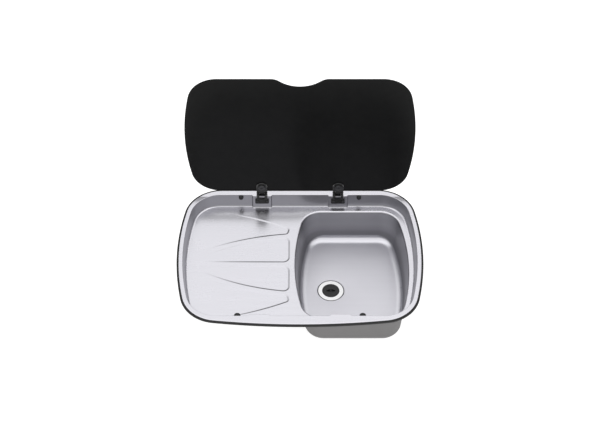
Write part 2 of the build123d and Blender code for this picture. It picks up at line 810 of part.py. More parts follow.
with BuildPart() as drain_plug:
    plug_profile = [
        (0, plug_top_z),
        (plug_radius, plug_top_z),
        (plug_radius - plug_taper, plug_top_z - plug_depth),
        (plug_pocket_radius, plug_top_z - plug_depth),
        (plug_pocket_radius, plug_top_z - plug_depth + plug_pocket_depth),
        (0, plug_top_z - plug_depth + plug_pocket_depth),
    ]
    add(turned(plug_profile, drain_axis).part)
    slot_bow = (plug_slot_length**2 + plug_slot_width**2) / (4 * plug_slot_width)
    with BuildSketch(Plane((drain_x, drain_y, plug_top_z))):
        with Locations((0, slot_bow - plug_slot_width / 2)):
            Circle(slot_bow)
        with Locations((0, plug_slot_width / 2 - slot_bow)):
            Circle(slot_bow, mode=Mode.INTERSECT)
        Rectangle(plug_bar, plug_slot_width, mode=Mode.SUBTRACT)
    extrude(amount=-plug_slot_depth, mode=Mode.SUBTRACT)
save(drain_plug.part, "drain_plug")

with BuildPart() as waste_body:
    body_profile = [
        (cup_radius - cup_wall, body_top_z),
        (gasket_radius, body_top_z),
        (gasket_radius, body_top_z - body_flange_thickness),
        (cup_radius, body_top_z - body_flange_thickness),
        (cup_radius, cup_floor_z),
        (outlet_radius, outlet_top_z),
        (outlet_radius, outlet_end_z + outlet_chamfer),
        (outlet_radius - outlet_chamfer, outlet_end_z),
        (outlet_radius - outlet_wall, outlet_end_z),
        (outlet_radius - outlet_wall, outlet_top_z),
        (cup_radius - cup_wall, cup_floor_z + cup_wall),
    ]
    add(turned(body_profile, drain_axis).part)
    with BuildSketch(Plane((drain_x, drain_y, hub_top_z))):
        with PolarLocations(cup_radius / 2, spider_arms):
            Rectangle(cup_radius - cup_wall / 2, spider_arm_width)
        Circle(spider_hub_radius)
    extrude(amount=-spider_height)
    with BuildSketch(Plane((drain_x, drain_y, hub_top_z))):
        Circle(insert_radius)
    extrude(amount=-insert_height, mode=Mode.SUBTRACT)
    with BuildSketch(Plane((drain_x, drain_y, hub_top_z))):
        Circle(centre_screw_radius + screw_gap)
    extrude(amount=-spider_height, mode=Mode.SUBTRACT)
    with BuildSketch(Plane((drain_x, drain_y, body_top_z - body_flange_thickness))):
        with PolarLocations((cup_radius + gasket_radius) / 2 - cup_wall / 2, body_ribs):
            Rectangle(gasket_radius - cup_radius, body_rib_width)
    extrude(amount=-cup_depth / 2)
save(waste_body.part, "waste_body")

hub_top = Plane((drain_x, drain_y, hub_top_z - insert_height))
save(disc(hub_top, insert_radius, insert_height, hole=centre_screw_radius), "thread_insert")
with BuildPart() as centre_screw:
    strainer_top = Plane((drain_x, drain_y, strainer_z))
    add(disc(strainer_top, centre_screw_head_radius, centre_screw_head_height, rounding=head_rounding))
    with BuildSketch(strainer_top):
        Circle(centre_screw_radius)
    extrude(amount=-centre_screw_length)
    with BuildSketch(strainer_top.offset(centre_screw_head_height)):
        Rectangle(centre_screw_head_radius, head_slot)
        Rectangle(head_slot, centre_screw_head_radius)
    extrude(amount=-head_slot, mode=Mode.SUBTRACT)
save(centre_screw.part, "centre_screw")
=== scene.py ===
# %% [markdown]
# # A caravan sink with a glass lid
#
# The object is an inset sink for a camper: one sheet of stainless steel pressed into a tray with a
# drainer and a bowl, a black glass lid that stands open on two hinges, rubber buffers and a plug.
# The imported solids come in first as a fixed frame. The sink, lid, seal, buffers, screws, caps and
# plug are then made again as smooth surfaces in that same frame. The hinges, the drain ring and the
# pieces out of sight keep the solids' own shapes and only get a finish.

import json
from math import cos, radians, sin, tan

import bmesh
import bpy
import numpy as np
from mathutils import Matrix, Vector
from mathutils.geometry import delaunay_2d_cdt

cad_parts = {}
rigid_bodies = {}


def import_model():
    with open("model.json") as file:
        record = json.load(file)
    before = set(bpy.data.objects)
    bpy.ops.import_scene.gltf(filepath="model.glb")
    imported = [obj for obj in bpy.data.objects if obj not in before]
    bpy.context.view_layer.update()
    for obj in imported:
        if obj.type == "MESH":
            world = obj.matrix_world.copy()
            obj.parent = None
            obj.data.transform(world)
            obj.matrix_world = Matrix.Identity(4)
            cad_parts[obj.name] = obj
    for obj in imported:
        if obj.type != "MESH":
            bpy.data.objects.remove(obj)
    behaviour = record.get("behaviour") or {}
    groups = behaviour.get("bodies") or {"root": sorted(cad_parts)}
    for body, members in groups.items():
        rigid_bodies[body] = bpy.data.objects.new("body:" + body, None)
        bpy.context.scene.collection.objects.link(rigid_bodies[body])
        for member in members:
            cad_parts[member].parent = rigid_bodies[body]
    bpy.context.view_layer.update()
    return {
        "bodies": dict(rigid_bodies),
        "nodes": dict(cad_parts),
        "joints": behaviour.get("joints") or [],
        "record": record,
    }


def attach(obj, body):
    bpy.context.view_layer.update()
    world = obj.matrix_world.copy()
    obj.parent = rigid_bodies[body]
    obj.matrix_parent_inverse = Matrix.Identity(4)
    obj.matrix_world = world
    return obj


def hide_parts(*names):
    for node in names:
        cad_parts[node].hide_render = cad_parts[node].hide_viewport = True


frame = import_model()
nodes = frame["nodes"]

# %% [markdown]
# ## Working in millimetres
#
# A sink maker's drawing is in millimetres and Blender is in metres, so every shape here is worked
# out in millimetres and only turned into metres when its mesh is filled. A mesh is filled from whole
# arrays, because a loop over vertices would be slow and would hide the shape's formula.

# %% Mesh maker
MM = 0.001


def make_piece(name, points, faces, body, slot, replaced=(), **values):
    """A mesh from points in millimetres and arrays of 3 or 4 corners, riding on a body. Further
    arrays, one value per point, become attributes that a finish can read."""
    mesh = bpy.data.meshes.new(name)
    mesh.vertices.add(len(points))
    mesh.vertices.foreach_set("co", (np.asarray(points, float) * MM).ravel())
    sizes = np.concatenate([np.full(len(part), part.shape[1]) for part in faces])
    corners = np.concatenate([part.ravel() for part in faces])
    mesh.loops.add(len(corners))
    mesh.loops.foreach_set("vertex_index", corners.astype(np.int32))
    mesh.polygons.add(len(sizes))
    starts = np.concatenate([[0], np.cumsum(sizes)[:-1]]).astype(np.int32)
    mesh.polygons.foreach_set("loop_start", starts)
    mesh.polygons.foreach_set("use_smooth", np.ones(len(sizes), bool))
    mesh.update(calc_edges=True)
    for label, array in values.items():
        attribute = mesh.attributes.new(label, "FLOAT", "POINT")
        attribute.data.foreach_set("value", np.asarray(array, np.float32))
    piece = bpy.data.objects.new(name, mesh)
    bpy.context.scene.collection.objects.link(piece)
    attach(piece, body)
    if replaced:
        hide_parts(*replaced)
    print(name, len(mesh.vertices), "points,", len(mesh.polygons), "faces")
    return piece


def grid_faces(rows, columns, first=0):
    """Quads between neighbours of a grid whose last column joins its first."""
    row, column = np.meshgrid(np.arange(rows - 1), np.arange(columns), indexing="ij")
    after = (column + 1) % columns
    here, there = row * columns, (row + 1) * columns
    quads = np.stack([here + column, here + after, there + after, there + column], -1)
    return first + quads.reshape(-1, 4)


def stacked(grids):
    """The points of several grids in one list, and each grid's quads among them."""
    points, quads, first = [], [], 0
    for rows in grids:
        points.append(rows.reshape(-1, 3))
        quads.append(grid_faces(*rows.shape[:2], first=first))
        first += len(points[-1])
    return np.concatenate(points), quads


# %% [markdown]
# ## Plan outlines
#
# The rim, the tray, the bowl and the lid all have the same kind of outline: bulged sides, large
# corners and nearly straight long edges, each running smoothly into the next. Every outline is eight
# arcs or lines, walked anticlockwise with the same number of points in each, so that two outlines of
# different size match point for point and a wall can be drawn between them.

# %% Outlines
BOSS_X, BOSS_HALF, BOSS_SIDE, BOSS_PROUD = 96.0, 26.0, 4.0, 4.5


def long_edge_steps(half_length):
    """Places along a long edge, from -1 to 1: close together at the sides of the bosses."""
    flanks = BOSS_X + np.array([-1, 1])[:, None] * (BOSS_HALF - BOSS_SIDE / 2)
    flanks = flanks + np.linspace(-4.5, 4.5, 13)
    places = np.concatenate([np.linspace(0, half_length, 15), flanks.ravel()])
    places = np.unique(np.round(places[places <= half_length], 3))
    return np.concatenate([-places[:0:-1], places]) / half_length


LONG = long_edge_steps(198.0)
CORNER = np.linspace(0, 1, 33)[:-1]
SIDE = np.linspace(0, 1, 49)[:-1]


def arc(centre, radius, first, last, steps):
    """Points and outward normals on an arc: centre plus radius along the angle's direction."""
    angle = first + (last - first) * steps
    normal = np.stack([np.cos(angle), np.sin(angle)], -1)
    return np.asarray(centre) + radius * normal, normal


def outline_parts(half_width, rear, front, side_radius, corner, widest, bow=None):
    """The eight stretches of an outline, each as points and outward normals. A corner's circle
    touches the side's arc from inside, so its centre is side_radius - corner from the side's."""
    side = np.array([half_width - side_radius, widest])
    reach = side_radius - corner

    def corner_centre(y):
        """The corner's centre at this y, as far from the side's centre as both circles ask."""
        return np.array([side[0] + np.sqrt(reach**2 - (y - widest) ** 2), y])

    back = corner_centre(rear - corner)
    if bow is None:
        fore = corner_centre(front + corner)
        start = -np.pi / 2
        edge = np.stack([fore[0] * LONG[:-1], np.full(len(LONG) - 1, front)], -1)
        front_edge = (edge, np.tile([0.0, -1.0], (len(edge), 1)))
    else:
        middle = np.array([0.0, front + bow])
        gap = middle - side
        span = np.hypot(*gap)
        along = (span**2 + reach**2 - (bow - corner) ** 2) / (2 * span)
        across = np.sqrt(reach**2 - along**2)
        fore = side + (along * gap + across * np.array([gap[1], -gap[0]])) / span
        start = np.arctan2(*(fore - middle)[::-1])
        front_edge = arc(middle, bow, -np.pi - start, start, (LONG[:-1] + 1) / 2)
    low = np.arctan2(*(fore - side)[::-1])
    high = np.arctan2(*(back - side)[::-1])
    flip = np.array([-1.0, 1.0])
    top = np.stack([-back[0] * LONG[:-1], np.full(len(LONG) - 1, rear)], -1)
    return [
        front_edge,
        arc(fore, corner, start, low, CORNER),
        arc(side, side_radius, low, high, SIDE),
        arc(back, corner, high, np.pi / 2, CORNER),
        (top, np.tile([0.0, 1.0], (len(top), 1))),
        arc(back * flip, corner, np.pi / 2, np.pi - high, CORNER),
        arc(side * flip, side_radius, np.pi - high, np.pi - low, SIDE),
        arc(fore * flip, corner, np.pi - low, np.pi - start, CORNER),
    ]


def joined(parts, centre_x=0.0):
    """The stretches of an outline as one closed ring of points and normals."""
    points, normals = (np.concatenate(rows) for rows in zip(*parts))
    return points + [centre_x, 0.0], normals


TRAY_REAR, TRAY_FRONT = 201.0, -190.5
rim = joined(
    outline_parts(296.5, 216.5, -216.5, side_radius=687.0, corner=88.0, widest=10.0, bow=1750.0)
)
tray = joined(outline_parts(286.0, TRAY_REAR, TRAY_FRONT, side_radius=663.0, corner=74.0, widest=10.0))
bowl = joined(
    outline_parts(138.5, 173.0, -168.0, side_radius=560.0, corner=50.0, widest=0.0), centre_x=127.0
)
bowl_floor = joined(
    outline_parts(129.5, 169.5, -163.0, side_radius=552.0, corner=46.0, widest=0.0), centre_x=128.5
)
print(len(rim[0]), "points in each outline, rim", np.ptp(rim[0], 0).round(1), "mm")

# %% [markdown]
# ## The pressed sink
#
# On the real sink one flat sheet is drawn by a punch, so the steel flows round every edge in a
# radius and nowhere is there a seam. A modifier could bevel a boxy shape, but the radii here differ
# from edge to edge, so each wall is a profile of exact arcs carried along its outline, and the flat
# parts between the outlines are filled with triangles that share the profiles' last points. One skin
# is made that way, and a Solidify modifier gives it the thickness of the sheet.

# %% Profiles of the walls
WALL_TILT, BOWL_TILT = 11, 4
WALL, BOWL_WALL = radians(WALL_TILT), radians(BOWL_TILT)
TOP, DECK, FLOOR, SEAT = 6.0, -28.0, -126.0, -128.5
SHEET = 0.8


def bend(centre, radius, first, last, count):
    """Points of (offset, height) round a bend, angles in degrees, anticlockwise from outwards."""
    angle = np.radians(np.linspace(first, last, count))
    return np.stack([centre[0] + radius * np.cos(angle), centre[1] + radius * np.sin(angle)], -1)


def straight(start, end, hold=0.35):
    """A straight stretch with a point near each end, which keeps the shading of the flat part flat."""
    start, end = np.asarray(start, float), np.asarray(end, float)
    step = hold * (end - start) / np.hypot(*(end - start))
    return np.linspace(start + step, end - step, 5)


def chain(*parts):
    """Stretches one after the other, without repeated points."""
    points = np.concatenate(parts)
    keep = np.hypot(*np.diff(points, axis=0).T) > 1e-4
    return points[np.concatenate([[True], keep])]


def bend_run(radius, tilt):
    """How far sideways from a corner its bend's centre lies: radius x tan(45 degrees - half the
    tilt), to a thousandth of a millimetre."""
    return round(radius * tan(radians(45 - tilt / 2)), 3)


def edge_bend(radius, height, tilt, count):
    """The bend at a wall's upper edge, from level to the wall's tilt."""
    return bend((bend_run(radius, tilt), height - radius), radius, 90, 180 - tilt, count)


def foot_bend(corner, radius, height, tilt, count):
    """The bend at a wall's foot, from the wall's tilt to level."""
    return bend((corner - bend_run(radius, tilt), height + radius), radius, -tilt, -90, count)


rim_edge = bend((-2.0, TOP - 2.0), 2.0, 0, 90, 9)
brow = edge_bend(1.5, TOP, WALL_TILT, 9)
foot = foot_bend((DECK - TOP) * tan(WALL), 5.0, DECK, WALL_TILT, 11)
tray_wall = chain(brow, straight(brow[-1], foot[0]), foot)
lip = edge_bend(6.0, DECK, BOWL_TILT, 11)
bowl_foot = foot_bend((FLOOR - DECK) * tan(BOWL_WALL), 20.0, FLOOR, BOWL_TILT, 17)
bowl_wall = chain(lip, straight(lip[-1], bowl_foot[0]), bowl_foot)
print("tray wall", len(tray_wall), "rows, bowl wall", len(bowl_wall), "rows")


# %% [markdown]
# ### Bosses
#
# Four pads stand out of the tray's long walls: the rear two carry the hinges. A punch presses them
# out of the same sheet, so a pad is no separate shape here: the wall's points just step forward by
# 4.5 mm over the pad's width, with a smooth ramp at either side.

# %% Carry a profile along an outline
def smooth_step(value):
    """0 below 0, 1 above 1, and 3t^2 - 2t^3 between."""
    t = np.clip(value, 0.0, 1.0)
    return t * t * (3 - 2 * t)


def carried(profile, path, bosses=False):
    """Each row is the outline moved by the profile's offset along its normals, at its height."""
    points, normals = path
    ground = points[None] + profile[:, None, :1] * normals[None]
    height = np.broadcast_to(profile[:, None, 1:], ground.shape[:2] + (1,))
    if bosses:
        ramp = smooth_step((BOSS_HALF - np.abs(np.abs(points[:, 0]) - BOSS_X)) / BOSS_SIDE)
        long_wall = np.abs(normals[:, 1]) > 0.999
        ground = ground - BOSS_PROUD * (ramp * long_wall)[None, :, None] * normals[None]
    return np.concatenate([ground, height], -1)


def drawn_rows(profile, path, turned_in, turned_out, amount, deepen=0.0, side=0.0, rear=0.0):
    """How much painted shade each row gets: none on the flat, the whole amount on a wall. The amounts
    are set from the photo. The shade grows with the profile's slope, later on the inward bend at the
    foot than at the edge above. It deepens towards the foot, and reaches lower where the outline faces
    sideways or the rear."""
    run, drop = np.abs(np.gradient(profile, axis=0)).T
    slope = np.degrees(np.arctan2(drop, run))[:, None]
    below = (profile[:1, 1:] - profile[:, 1:]) / np.ptp(profile[:, 1])
    foot = np.arange(len(profile))[:, None] >= len(profile) // 2
    reach = side * np.abs(path[1][:, 0]) + rear * smooth_step((path[1][:, 1] - 0.8) / 0.2)
    start = np.where(foot, turned_in - reach, turned_out)
    # The painted shade's full strength, deeper towards the foot.
    stretch = amount * (1 + deepen * smooth_step((below - 0.5) / 0.3))
    return (stretch * smooth_step((slope - start) / 22.0)).ravel()


def leaned(rows, path, below):
    """Rows shifted sideways in proportion to their depth, so that a wall set at one slope ends on
    another outline below: (lower outline - upper outline - the slope's own run) x depth / full."""
    lean = below[0] - path[0] + (DECK - FLOOR) * tan(BOWL_WALL) * path[1]
    depth = (DECK - rows[..., 2:]) / (DECK - FLOOR)
    return np.concatenate([rows[..., :2] + lean[None] * depth, rows[..., 2:]], -1)


wall_rows = carried(tray_wall, tray, bosses=True)
bowl_rows = leaned(carried(bowl_wall, bowl), bowl, bowl_floor)
edge_rows = carried(np.concatenate([[(0.0, 3.0), (0.0, 3.7)], rim_edge]), rim)
shelf = np.array([0.02, 0.5, 0.98])[:, None, None]
shelf_rows = edge_rows[-1] + shelf * (wall_rows[0] - edge_rows[-1])
print("rim and wall", len(edge_rows) + len(shelf_rows) + len(wall_rows), "rows of", wall_rows.shape[1])

# %% [markdown]
# ### The drainer
#
# The drainer is four shallow leaves, pressed down into the deck, that fan out from the bowl and fade
# away to the left. The ribs left between them carry the dishes. A leaf is a height below the deck: a
# plane that falls towards the bowl, times a smooth step of the distance inside the leaf's outline.
# Rows of points follow the step on both sides of each edge, because that is where the light catches.

# %% Height of the drainer's leaves
STEP_WIDTH, LEAF_DEPTH = 5.0, 1.8
LEAF_END, RIB_HALF, INNER_CORNER = -27.0, 7.0, 15.0


def arc_edge(points, within):
    """The circle through three points as its centre, its radius and a sign, which is 1 when the
    point within is inside it. Equal distances to the three points give two linear rules."""
    a, b, c = np.asarray(points, float)
    centre = np.linalg.solve(2 * np.array([b - a, c - a]), [b @ b - a @ a, c @ c - a @ a])
    radius = np.hypot(*(a - centre))
    return centre, radius, np.sign(radius - np.hypot(*(np.asarray(within) - centre)))


inner_out = arc_edge([(-27, 87), (-132, 68), (-235, 27)], within=(-100.0, 30.0))
outer_in = arc_edge([(-31, 99.5), (-123, 84.5), (-228, 48.5)], within=(-100.0, 115.0))
outer_out = arc_edge([(-27, 117.5), (-101, 147), (-188, 170)], within=(-100.0, 115.0))


def arc_side(ground, edge):
    """Distance from an edge's arc, positive on the leaf's side."""
    centre, radius, sign = edge
    return sign * (radius - np.hypot(ground[..., 0] - centre[0], ground[..., 1] - centre[1]))


def inside(*distances, corner=6.0):
    """Distance inside several edges at once, with the corner between the last edge and the others
    rounded: corner minus the length of what is missing to it on both sides."""
    along = np.minimum.reduce(distances[:-1])
    end = distances[-1]
    round_part = corner - np.hypot(np.maximum(corner - along, 0), np.maximum(corner - end, 0))
    return np.minimum(np.minimum(along, end), round_part)


def plane_height(ground, deepest, near, far):
    """Height of a plane that is 0 along near-far and lowest at one point: a ratio of distances."""
    near, far, deepest = (np.asarray(point, float) for point in (near, far, deepest))
    normal = np.array([far[1] - near[1], near[0] - far[0]])
    share = LEAF_DEPTH * ((ground - near) @ normal) / ((deepest - near) @ normal)
    return -np.maximum(share, 0.0)


def leaf_heights(ground):
    """Height of the drainer over the deck at points of (x, y)."""
    folded = np.stack([ground[..., 0], np.abs(ground[..., 1])], -1)
    x, y = folded[..., 0], folded[..., 1]
    inner = inside(y - RIB_HALF, arc_side(folded, inner_out), LEAF_END - x, corner=INNER_CORNER)
    slant = ((LEAF_END - x) * 18.0 + (y - 117.5) * 4.0) / np.hypot(18.0, 4.0)
    outer = inside(arc_side(folded, outer_in), arc_side(folded, outer_out), slant)
    inner_plane = plane_height(folded, (-27, 87), (-240, 7), (-240, 27))
    outer_plane = plane_height(folded, (-27, 117.5), (-232.8, 50), (-192.8, 171.5))
    inner_share, outer_share = (smooth_step(leaf / STEP_WIDTH + 0.5) for leaf in (inner, outer))
    return inner_plane * inner_share + outer_plane * outer_share


samples = np.array([[-40.0, 40.0], [-40.0, 110.0], [-40.0, 94.0], [-200.0, 15.0]])
print("leaf heights", leaf_heights(samples).round(2))


# %% Rows of points along the leaves
def lattice(xs, ys):
    """The points of a plane grid, row by row."""
    return np.stack(np.meshgrid(xs, ys), -1).reshape(-1, 2)


def leaf_rows():
    """Points on both sides of every leaf edge: the edge moved along its normal in small steps."""
    across = np.linspace(-0.6, 0.6, 11) * STEP_WIDTH
    rows = []
    spans = (inner_out, -238, -18), (outer_in, -232, -20), (outer_out, -193, -17)
    for (centre, radius, _), first_x, last_x in spans:
        x = np.linspace(first_x, last_x, 90)
        sign = np.sign(60.0 - centre[1])
        angle = np.arctan2(sign * np.sqrt(radius**2 - (x - centre[0]) ** 2), x - centre[0])
        normal = np.stack([np.cos(angle), np.sin(angle)], -1)
        rows.append(normal[None] * (radius + across)[:, None, None] + centre)
    rows.append(lattice(np.linspace(-238, -18, 70), RIB_HALF + across))
    y = np.linspace(2.0, 124.0, 110)
    end = LEAF_END + across[:, None] - 2.0 * (y > 93) * (117.5 - y) / 18.0
    rows.append(np.stack(np.broadcast_arrays(end, y[None]), -1))
    for low, high in ((3.5, 25.0), (68.0, 91.0), (94.0, 122.0)):
        rows.append(lattice(np.linspace(-45, -23.5, 24), np.linspace(low, high, 26)))
    rows = np.concatenate([row.reshape(-1, 2) for row in rows])
    plain = lattice(np.linspace(-270, -20, 26), np.linspace(1, 180, 19))
    return np.concatenate([rows, rows * [1, -1], plain, plain * [1, -1]])


print(len(leaf_rows()), "points on the drainer")


# %% [markdown]
# ### Filling the flat parts
#
# The deck has an outer border at the foot of the tray wall and a hole where the bowl's lip starts.
# A Delaunay triangulation joins any set of points inside such borders and keeps the borders' own
# edges, so the deck meets both walls without a seam. The bowl's floor is filled the same way
# between the bowl's foot and the pressed seat of the drain.

# %% Fill between two borders
def inside_polygon(points, border):
    """True for points inside a closed border: the angles to its corners add up to a full turn."""
    ray = border[None] - points[:, None]
    after = np.roll(ray, -1, 1)
    cross = ray[..., 0] * after[..., 1] - ray[..., 1] * after[..., 0]
    turn = np.arctan2(cross, (ray * after).sum(-1))
    return np.abs(turn.sum(1)) > np.pi


def clear_of(points, border, gap):
    """True for points that keep a gap from a border's own points."""
    return np.hypot(*(points[:, None] - border[None]).transpose(2, 0, 1)).min(1) > gap


def filled(outer, inner, extra):
    """Triangles between an outer and an inner border that also use the extra points inside."""
    borders = np.concatenate([outer, inner])
    fits = inside_polygon(extra, outer) & ~inside_polygon(extra, inner)
    extra = extra[fits]
    extra = extra[clear_of(extra, borders, 1.2)]
    points = np.concatenate([outer, inner, extra])
    count, hole = len(outer), len(inner)
    ring = [(i, (i + 1) % count) for i in range(count)]
    ring += [(count + i, count + (i + 1) % hole) for i in range(hole)]
    result = delaunay_2d_cdt([tuple(p) for p in points], ring, [], 0, 1e-7)
    flat = np.array([tuple(v) for v in result[0]])
    triangles = np.array(result[2])
    middle = flat[triangles].mean(1)
    keep = inside_polygon(middle, outer) & ~inside_polygon(middle, inner)
    return flat, triangles[keep]


def turned_up(points, triangles):
    """The same triangles, all anticlockwise seen from above."""
    a, b, c = (points[triangles[:, i], :2] for i in range(3))
    area = (b - a)[:, 0] * (c - a)[:, 1] - (b - a)[:, 1] * (c - a)[:, 0]
    return np.where((area < 0)[:, None], triangles[:, ::-1], triangles)


deck_flat, deck_triangles = filled(wall_rows[-1][:, :2], bowl_rows[0][:, :2], leaf_rows())
deck = np.column_stack([deck_flat, DECK + leaf_heights(deck_flat)])
deck_triangles = turned_up(deck, deck_triangles)
print("deck", len(deck), "points,", len(deck_triangles), "triangles")

# %% The drain's seat
DRAIN = np.array([77.0, -3.0])
seat_profile = chain(
    bend((34.7, FLOOR - 1.2), 1.2, 90, 180, 7),
    np.array([(33.5, FLOOR - 1.6)]),
    bend((33.1, SEAT + 0.4), 0.4, 0, -90, 4),
    np.array([(32.0, SEAT), (25.0, SEAT)]),
)
turn = np.linspace(0, 2 * np.pi, 97)[:-1]
seat_ring = (DRAIN + 0 * turn[:, None], np.stack([np.cos(turn), np.sin(turn)], -1))
seat_rows = carried(seat_profile, seat_ring)
floor_flat, floor_triangles = filled(bowl_rows[-1][:, :2], seat_rows[0][:, :2], np.zeros((0, 2)))
floor = np.column_stack([floor_flat, np.full(len(floor_flat), FLOOR)])
floor_triangles = turned_up(floor, floor_triangles)
print("bowl floor", len(floor), "points")

# %% [markdown]
# ### Putting the skin together
#
# Two values are painted on the skin's points. The first is painted shade: it darkens the steel, and
# makes it a little rougher, on the walls and on the leaves' edges, most where an edge faces away to the
# rear. The second, matte, blurs what the bowl mirrors. Both stand in for tones of the photo and were
# set to match it.
# The stretches of skin share their border points only by place, so a merge by distance makes them
# one surface. The sheet's thickness then goes to the underside.

# %% Paint the skin
def even(value, *grids):
    """The same value for every point of some grids."""
    return np.full(sum(grid[..., 0].size for grid in grids), value)


tray_rows = np.concatenate([edge_rows, shelf_rows, wall_rows])
around = wall_rows.shape[1]
step = 0.2
slope_x, slope_y = (
    (leaf_heights(deck_flat + move) - leaf_heights(deck_flat - move)) / (2 * step)
    for move in ([step, 0], [0, step])
)
fall = np.hypot(slope_x, slope_y)
turned_away = -slope_y / np.maximum(fall, 1e-6)
print("steepest leaf edge", np.degrees(np.arctan(fall.max())).round(0), "degrees")
# Painted shade for the steel's colour, per point: on the walls, their bends and the leaves' edges.
drawn = np.concatenate([
    even(0.0, edge_rows, shelf_rows),
    drawn_rows(tray_wall, tray, 56.0, 30.0, 0.85, rear=40.0),
    drawn_rows(bowl_wall, bowl, 62.0, 30.0, 0.76, deepen=0.45, side=22.0),
    even(0.0, seat_rows),
    # Painted shade on the leaves' edges, strongest where an edge faces away to the rear.
    smooth_step(fall / 0.22) * (0.56 + 0.34 * turned_away),
    even(0.0, floor),
])
bowl_matte = smooth_step((DECK - bowl_wall[:, 1]) / 12.0)
bowl_matte[-len(bowl_foot):] *= 1 - 0.9 * np.sin(np.linspace(0, np.pi, len(bowl_foot)))
matte = np.concatenate([
    even(0.0, tray_rows),
    np.repeat(bowl_matte, around),
    even(1.0, seat_rows),
    even(0.0, deck),
    even(1.0, floor),
])

# %% Make the skin
wall_points, wall_quads = stacked([tray_rows, bowl_rows, seat_rows])
deck_start = len(wall_points)
pressed_sink = make_piece(
    "pressed_sink",
    np.concatenate([wall_points, deck, floor]),
    [*wall_quads, deck_triangles + deck_start, floor_triangles + deck_start + len(deck)],
    "root",
    "satin_steel",
    ["sink_shell"],
    drawn=drawn,
    matte=matte,
)


# %% Weld the skin and give it the sheet's thickness
def weld(piece):
    """Merges points within 2 micrometres of each other and counts the edges that stay open."""
    edit = bmesh.new()
    edit.from_mesh(piece.data)
    bmesh.ops.remove_doubles(edit, verts=edit.verts, dist=2e-6)
    open_edges = sum(1 for edge in edit.edges if len(edge.link_faces) == 1)
    edit.to_mesh(piece.data)
    edit.free()
    return open_edges


open_edges = weld(pressed_sink)
sheet = pressed_sink.modifiers.new("sheet", "SOLIDIFY")
sheet.thickness = SHEET * MM
sheet.offset = -1.0
sheet.use_even_offset = sheet.use_rim = True
sheet.material_offset = 1
print("open edges of the skin:", open_edges, "= rim", around, "+ drain hole", len(turn))

# %% [markdown]
# ## The glass lid
#
# The lid is a pane of 4 mm glass, black on its underside, whose outline follows the tray. A shallow
# notch in its front edge lets a finger under it. Standing open it is an upright plane behind the
# sink. Its edge is flat with a small round on both arrises, so the pane is made as two flat faces
# and an edge profile carried along the outline.

# %% Outline of the lid
GLASS_FRONT, GLASS_BACK = 198.7, 202.7
NOTCH, SHOULDER, LID_TOP = 80.0, 34.0, 397.7


def notched_edge(start_x):
    """The lid's free edge from right to left: straight, over a shoulder, round the notch and back.
    A shoulder touches the edge and the notch's circle, so its centre is NOTCH + SHOULDER away."""
    notch = np.array([0.0, LID_TOP - 23.6 + NOTCH])
    low = LID_TOP - SHOULDER
    reach = np.sqrt((NOTCH + SHOULDER) ** 2 - (notch[1] - low) ** 2)
    touch = np.arctan2(low - notch[1], reach)
    lean = np.pi + touch
    run = np.linspace(start_x, reach, 12)[:-1]
    line = np.stack([run, np.full(11, LID_TOP)], -1)
    up = np.tile([0.0, 1.0], (11, 1))
    over = arc((reach, low), SHOULDER, np.pi / 2, lean, np.linspace(0, 1, 17)[:-1])
    round_notch = arc(notch, NOTCH, touch, -np.pi - touch, np.linspace(0, 1, 33)[:-1])
    back = arc((-reach, low), SHOULDER, -touch, np.pi / 2, np.linspace(0, 1, 17)[:-1])
    end = np.stack([-run[::-1] + (run[0] - run[1]), np.full(11, LID_TOP)], -1)
    return joined([(line, up), over, (round_notch[0], -round_notch[1]), back, (end, up)])


lid_parts = outline_parts(280.0, LID_TOP, 24.2, 657.0, 72.0, 205.5)
lid_parts[4] = notched_edge(lid_parts[4][0][0, 0])
lid_ring = joined(lid_parts)
spacing = np.hypot(*np.diff(lid_ring[0], axis=0).T).max()
print("lid", np.ptp(lid_ring[0], 0).round(1), "mm, spacing up to", spacing.round(1))

# %% Make the lid
arris = chain(
    np.array([(-3.0, GLASS_FRONT), (-1.2, GLASS_FRONT)]),
    bend((-0.7, GLASS_FRONT + 0.7), 0.7, -90, 0, 6),
    bend((-0.7, GLASS_BACK - 0.7), 0.7, 0, 90, 6),
    np.array([(-1.2, GLASS_BACK), (-3.0, GLASS_BACK)]),
)
edge_band = carried(arris, lid_ring)[..., [0, 2, 1]]
within = lattice(np.linspace(-270, 270, 28), np.linspace(30, 390, 19))
pane_flat, pane_triangles = filled(edge_band[0][:, [0, 2]], np.zeros((0, 2)), within)
panes = [
    np.column_stack([pane_flat[:, 0], np.full(len(pane_flat), y), pane_flat[:, 1]])
    for y in (GLASS_FRONT, GLASS_BACK)
]
front_face = turned_up(pane_flat, pane_triangles) + edge_band[..., 0].size
back_face = front_face[:, ::-1] + len(pane_flat)
glass_lid = make_piece(
    "black_glass_lid",
    np.concatenate([edge_band.reshape(-1, 3), *panes]),
    [grid_faces(*edge_band.shape[:2])[:, ::-1], front_face, back_face],
    "lid",
    "black_glass",
    ["glass_lid"],
)
print("open edges of the lid:", weld(glass_lid))

# %% [markdown]
# ## The rim seal
#
# A black rubber strip lies under the flange, and about four millimetres of it show all round. Its
# section is a flat strip with a rounded outer edge and a groove for the flange's turned-down lip.

# %% Rim seal
seal_profile = chain(
    np.array([(-9.0, 0.0), (4.02, 0.0)]),
    bend((4.02, 0.3), 0.3, -90, 0, 4),
    bend((1.92, 2.8), 2.4, 0, 90, 9),
    np.array([(0.4, 5.2), (0.1, 4.9), (0.1, 2.9), (-2.4, 2.9), (-2.4, 5.2), (-9.0, 5.2)]),
)
seal_rows = carried(seal_profile, rim)
seal_faces = grid_faces(len(seal_rows) + 1, seal_rows.shape[1])
seal_faces %= seal_rows.shape[0] * seal_rows.shape[1]
rubber_seal = make_piece(
    "rubber_rim_seal", seal_rows.reshape(-1, 3), [seal_faces], "root", "black_rubber", ["rim_seal"]
)
print("open edges of the seal:", weld(rubber_seal))

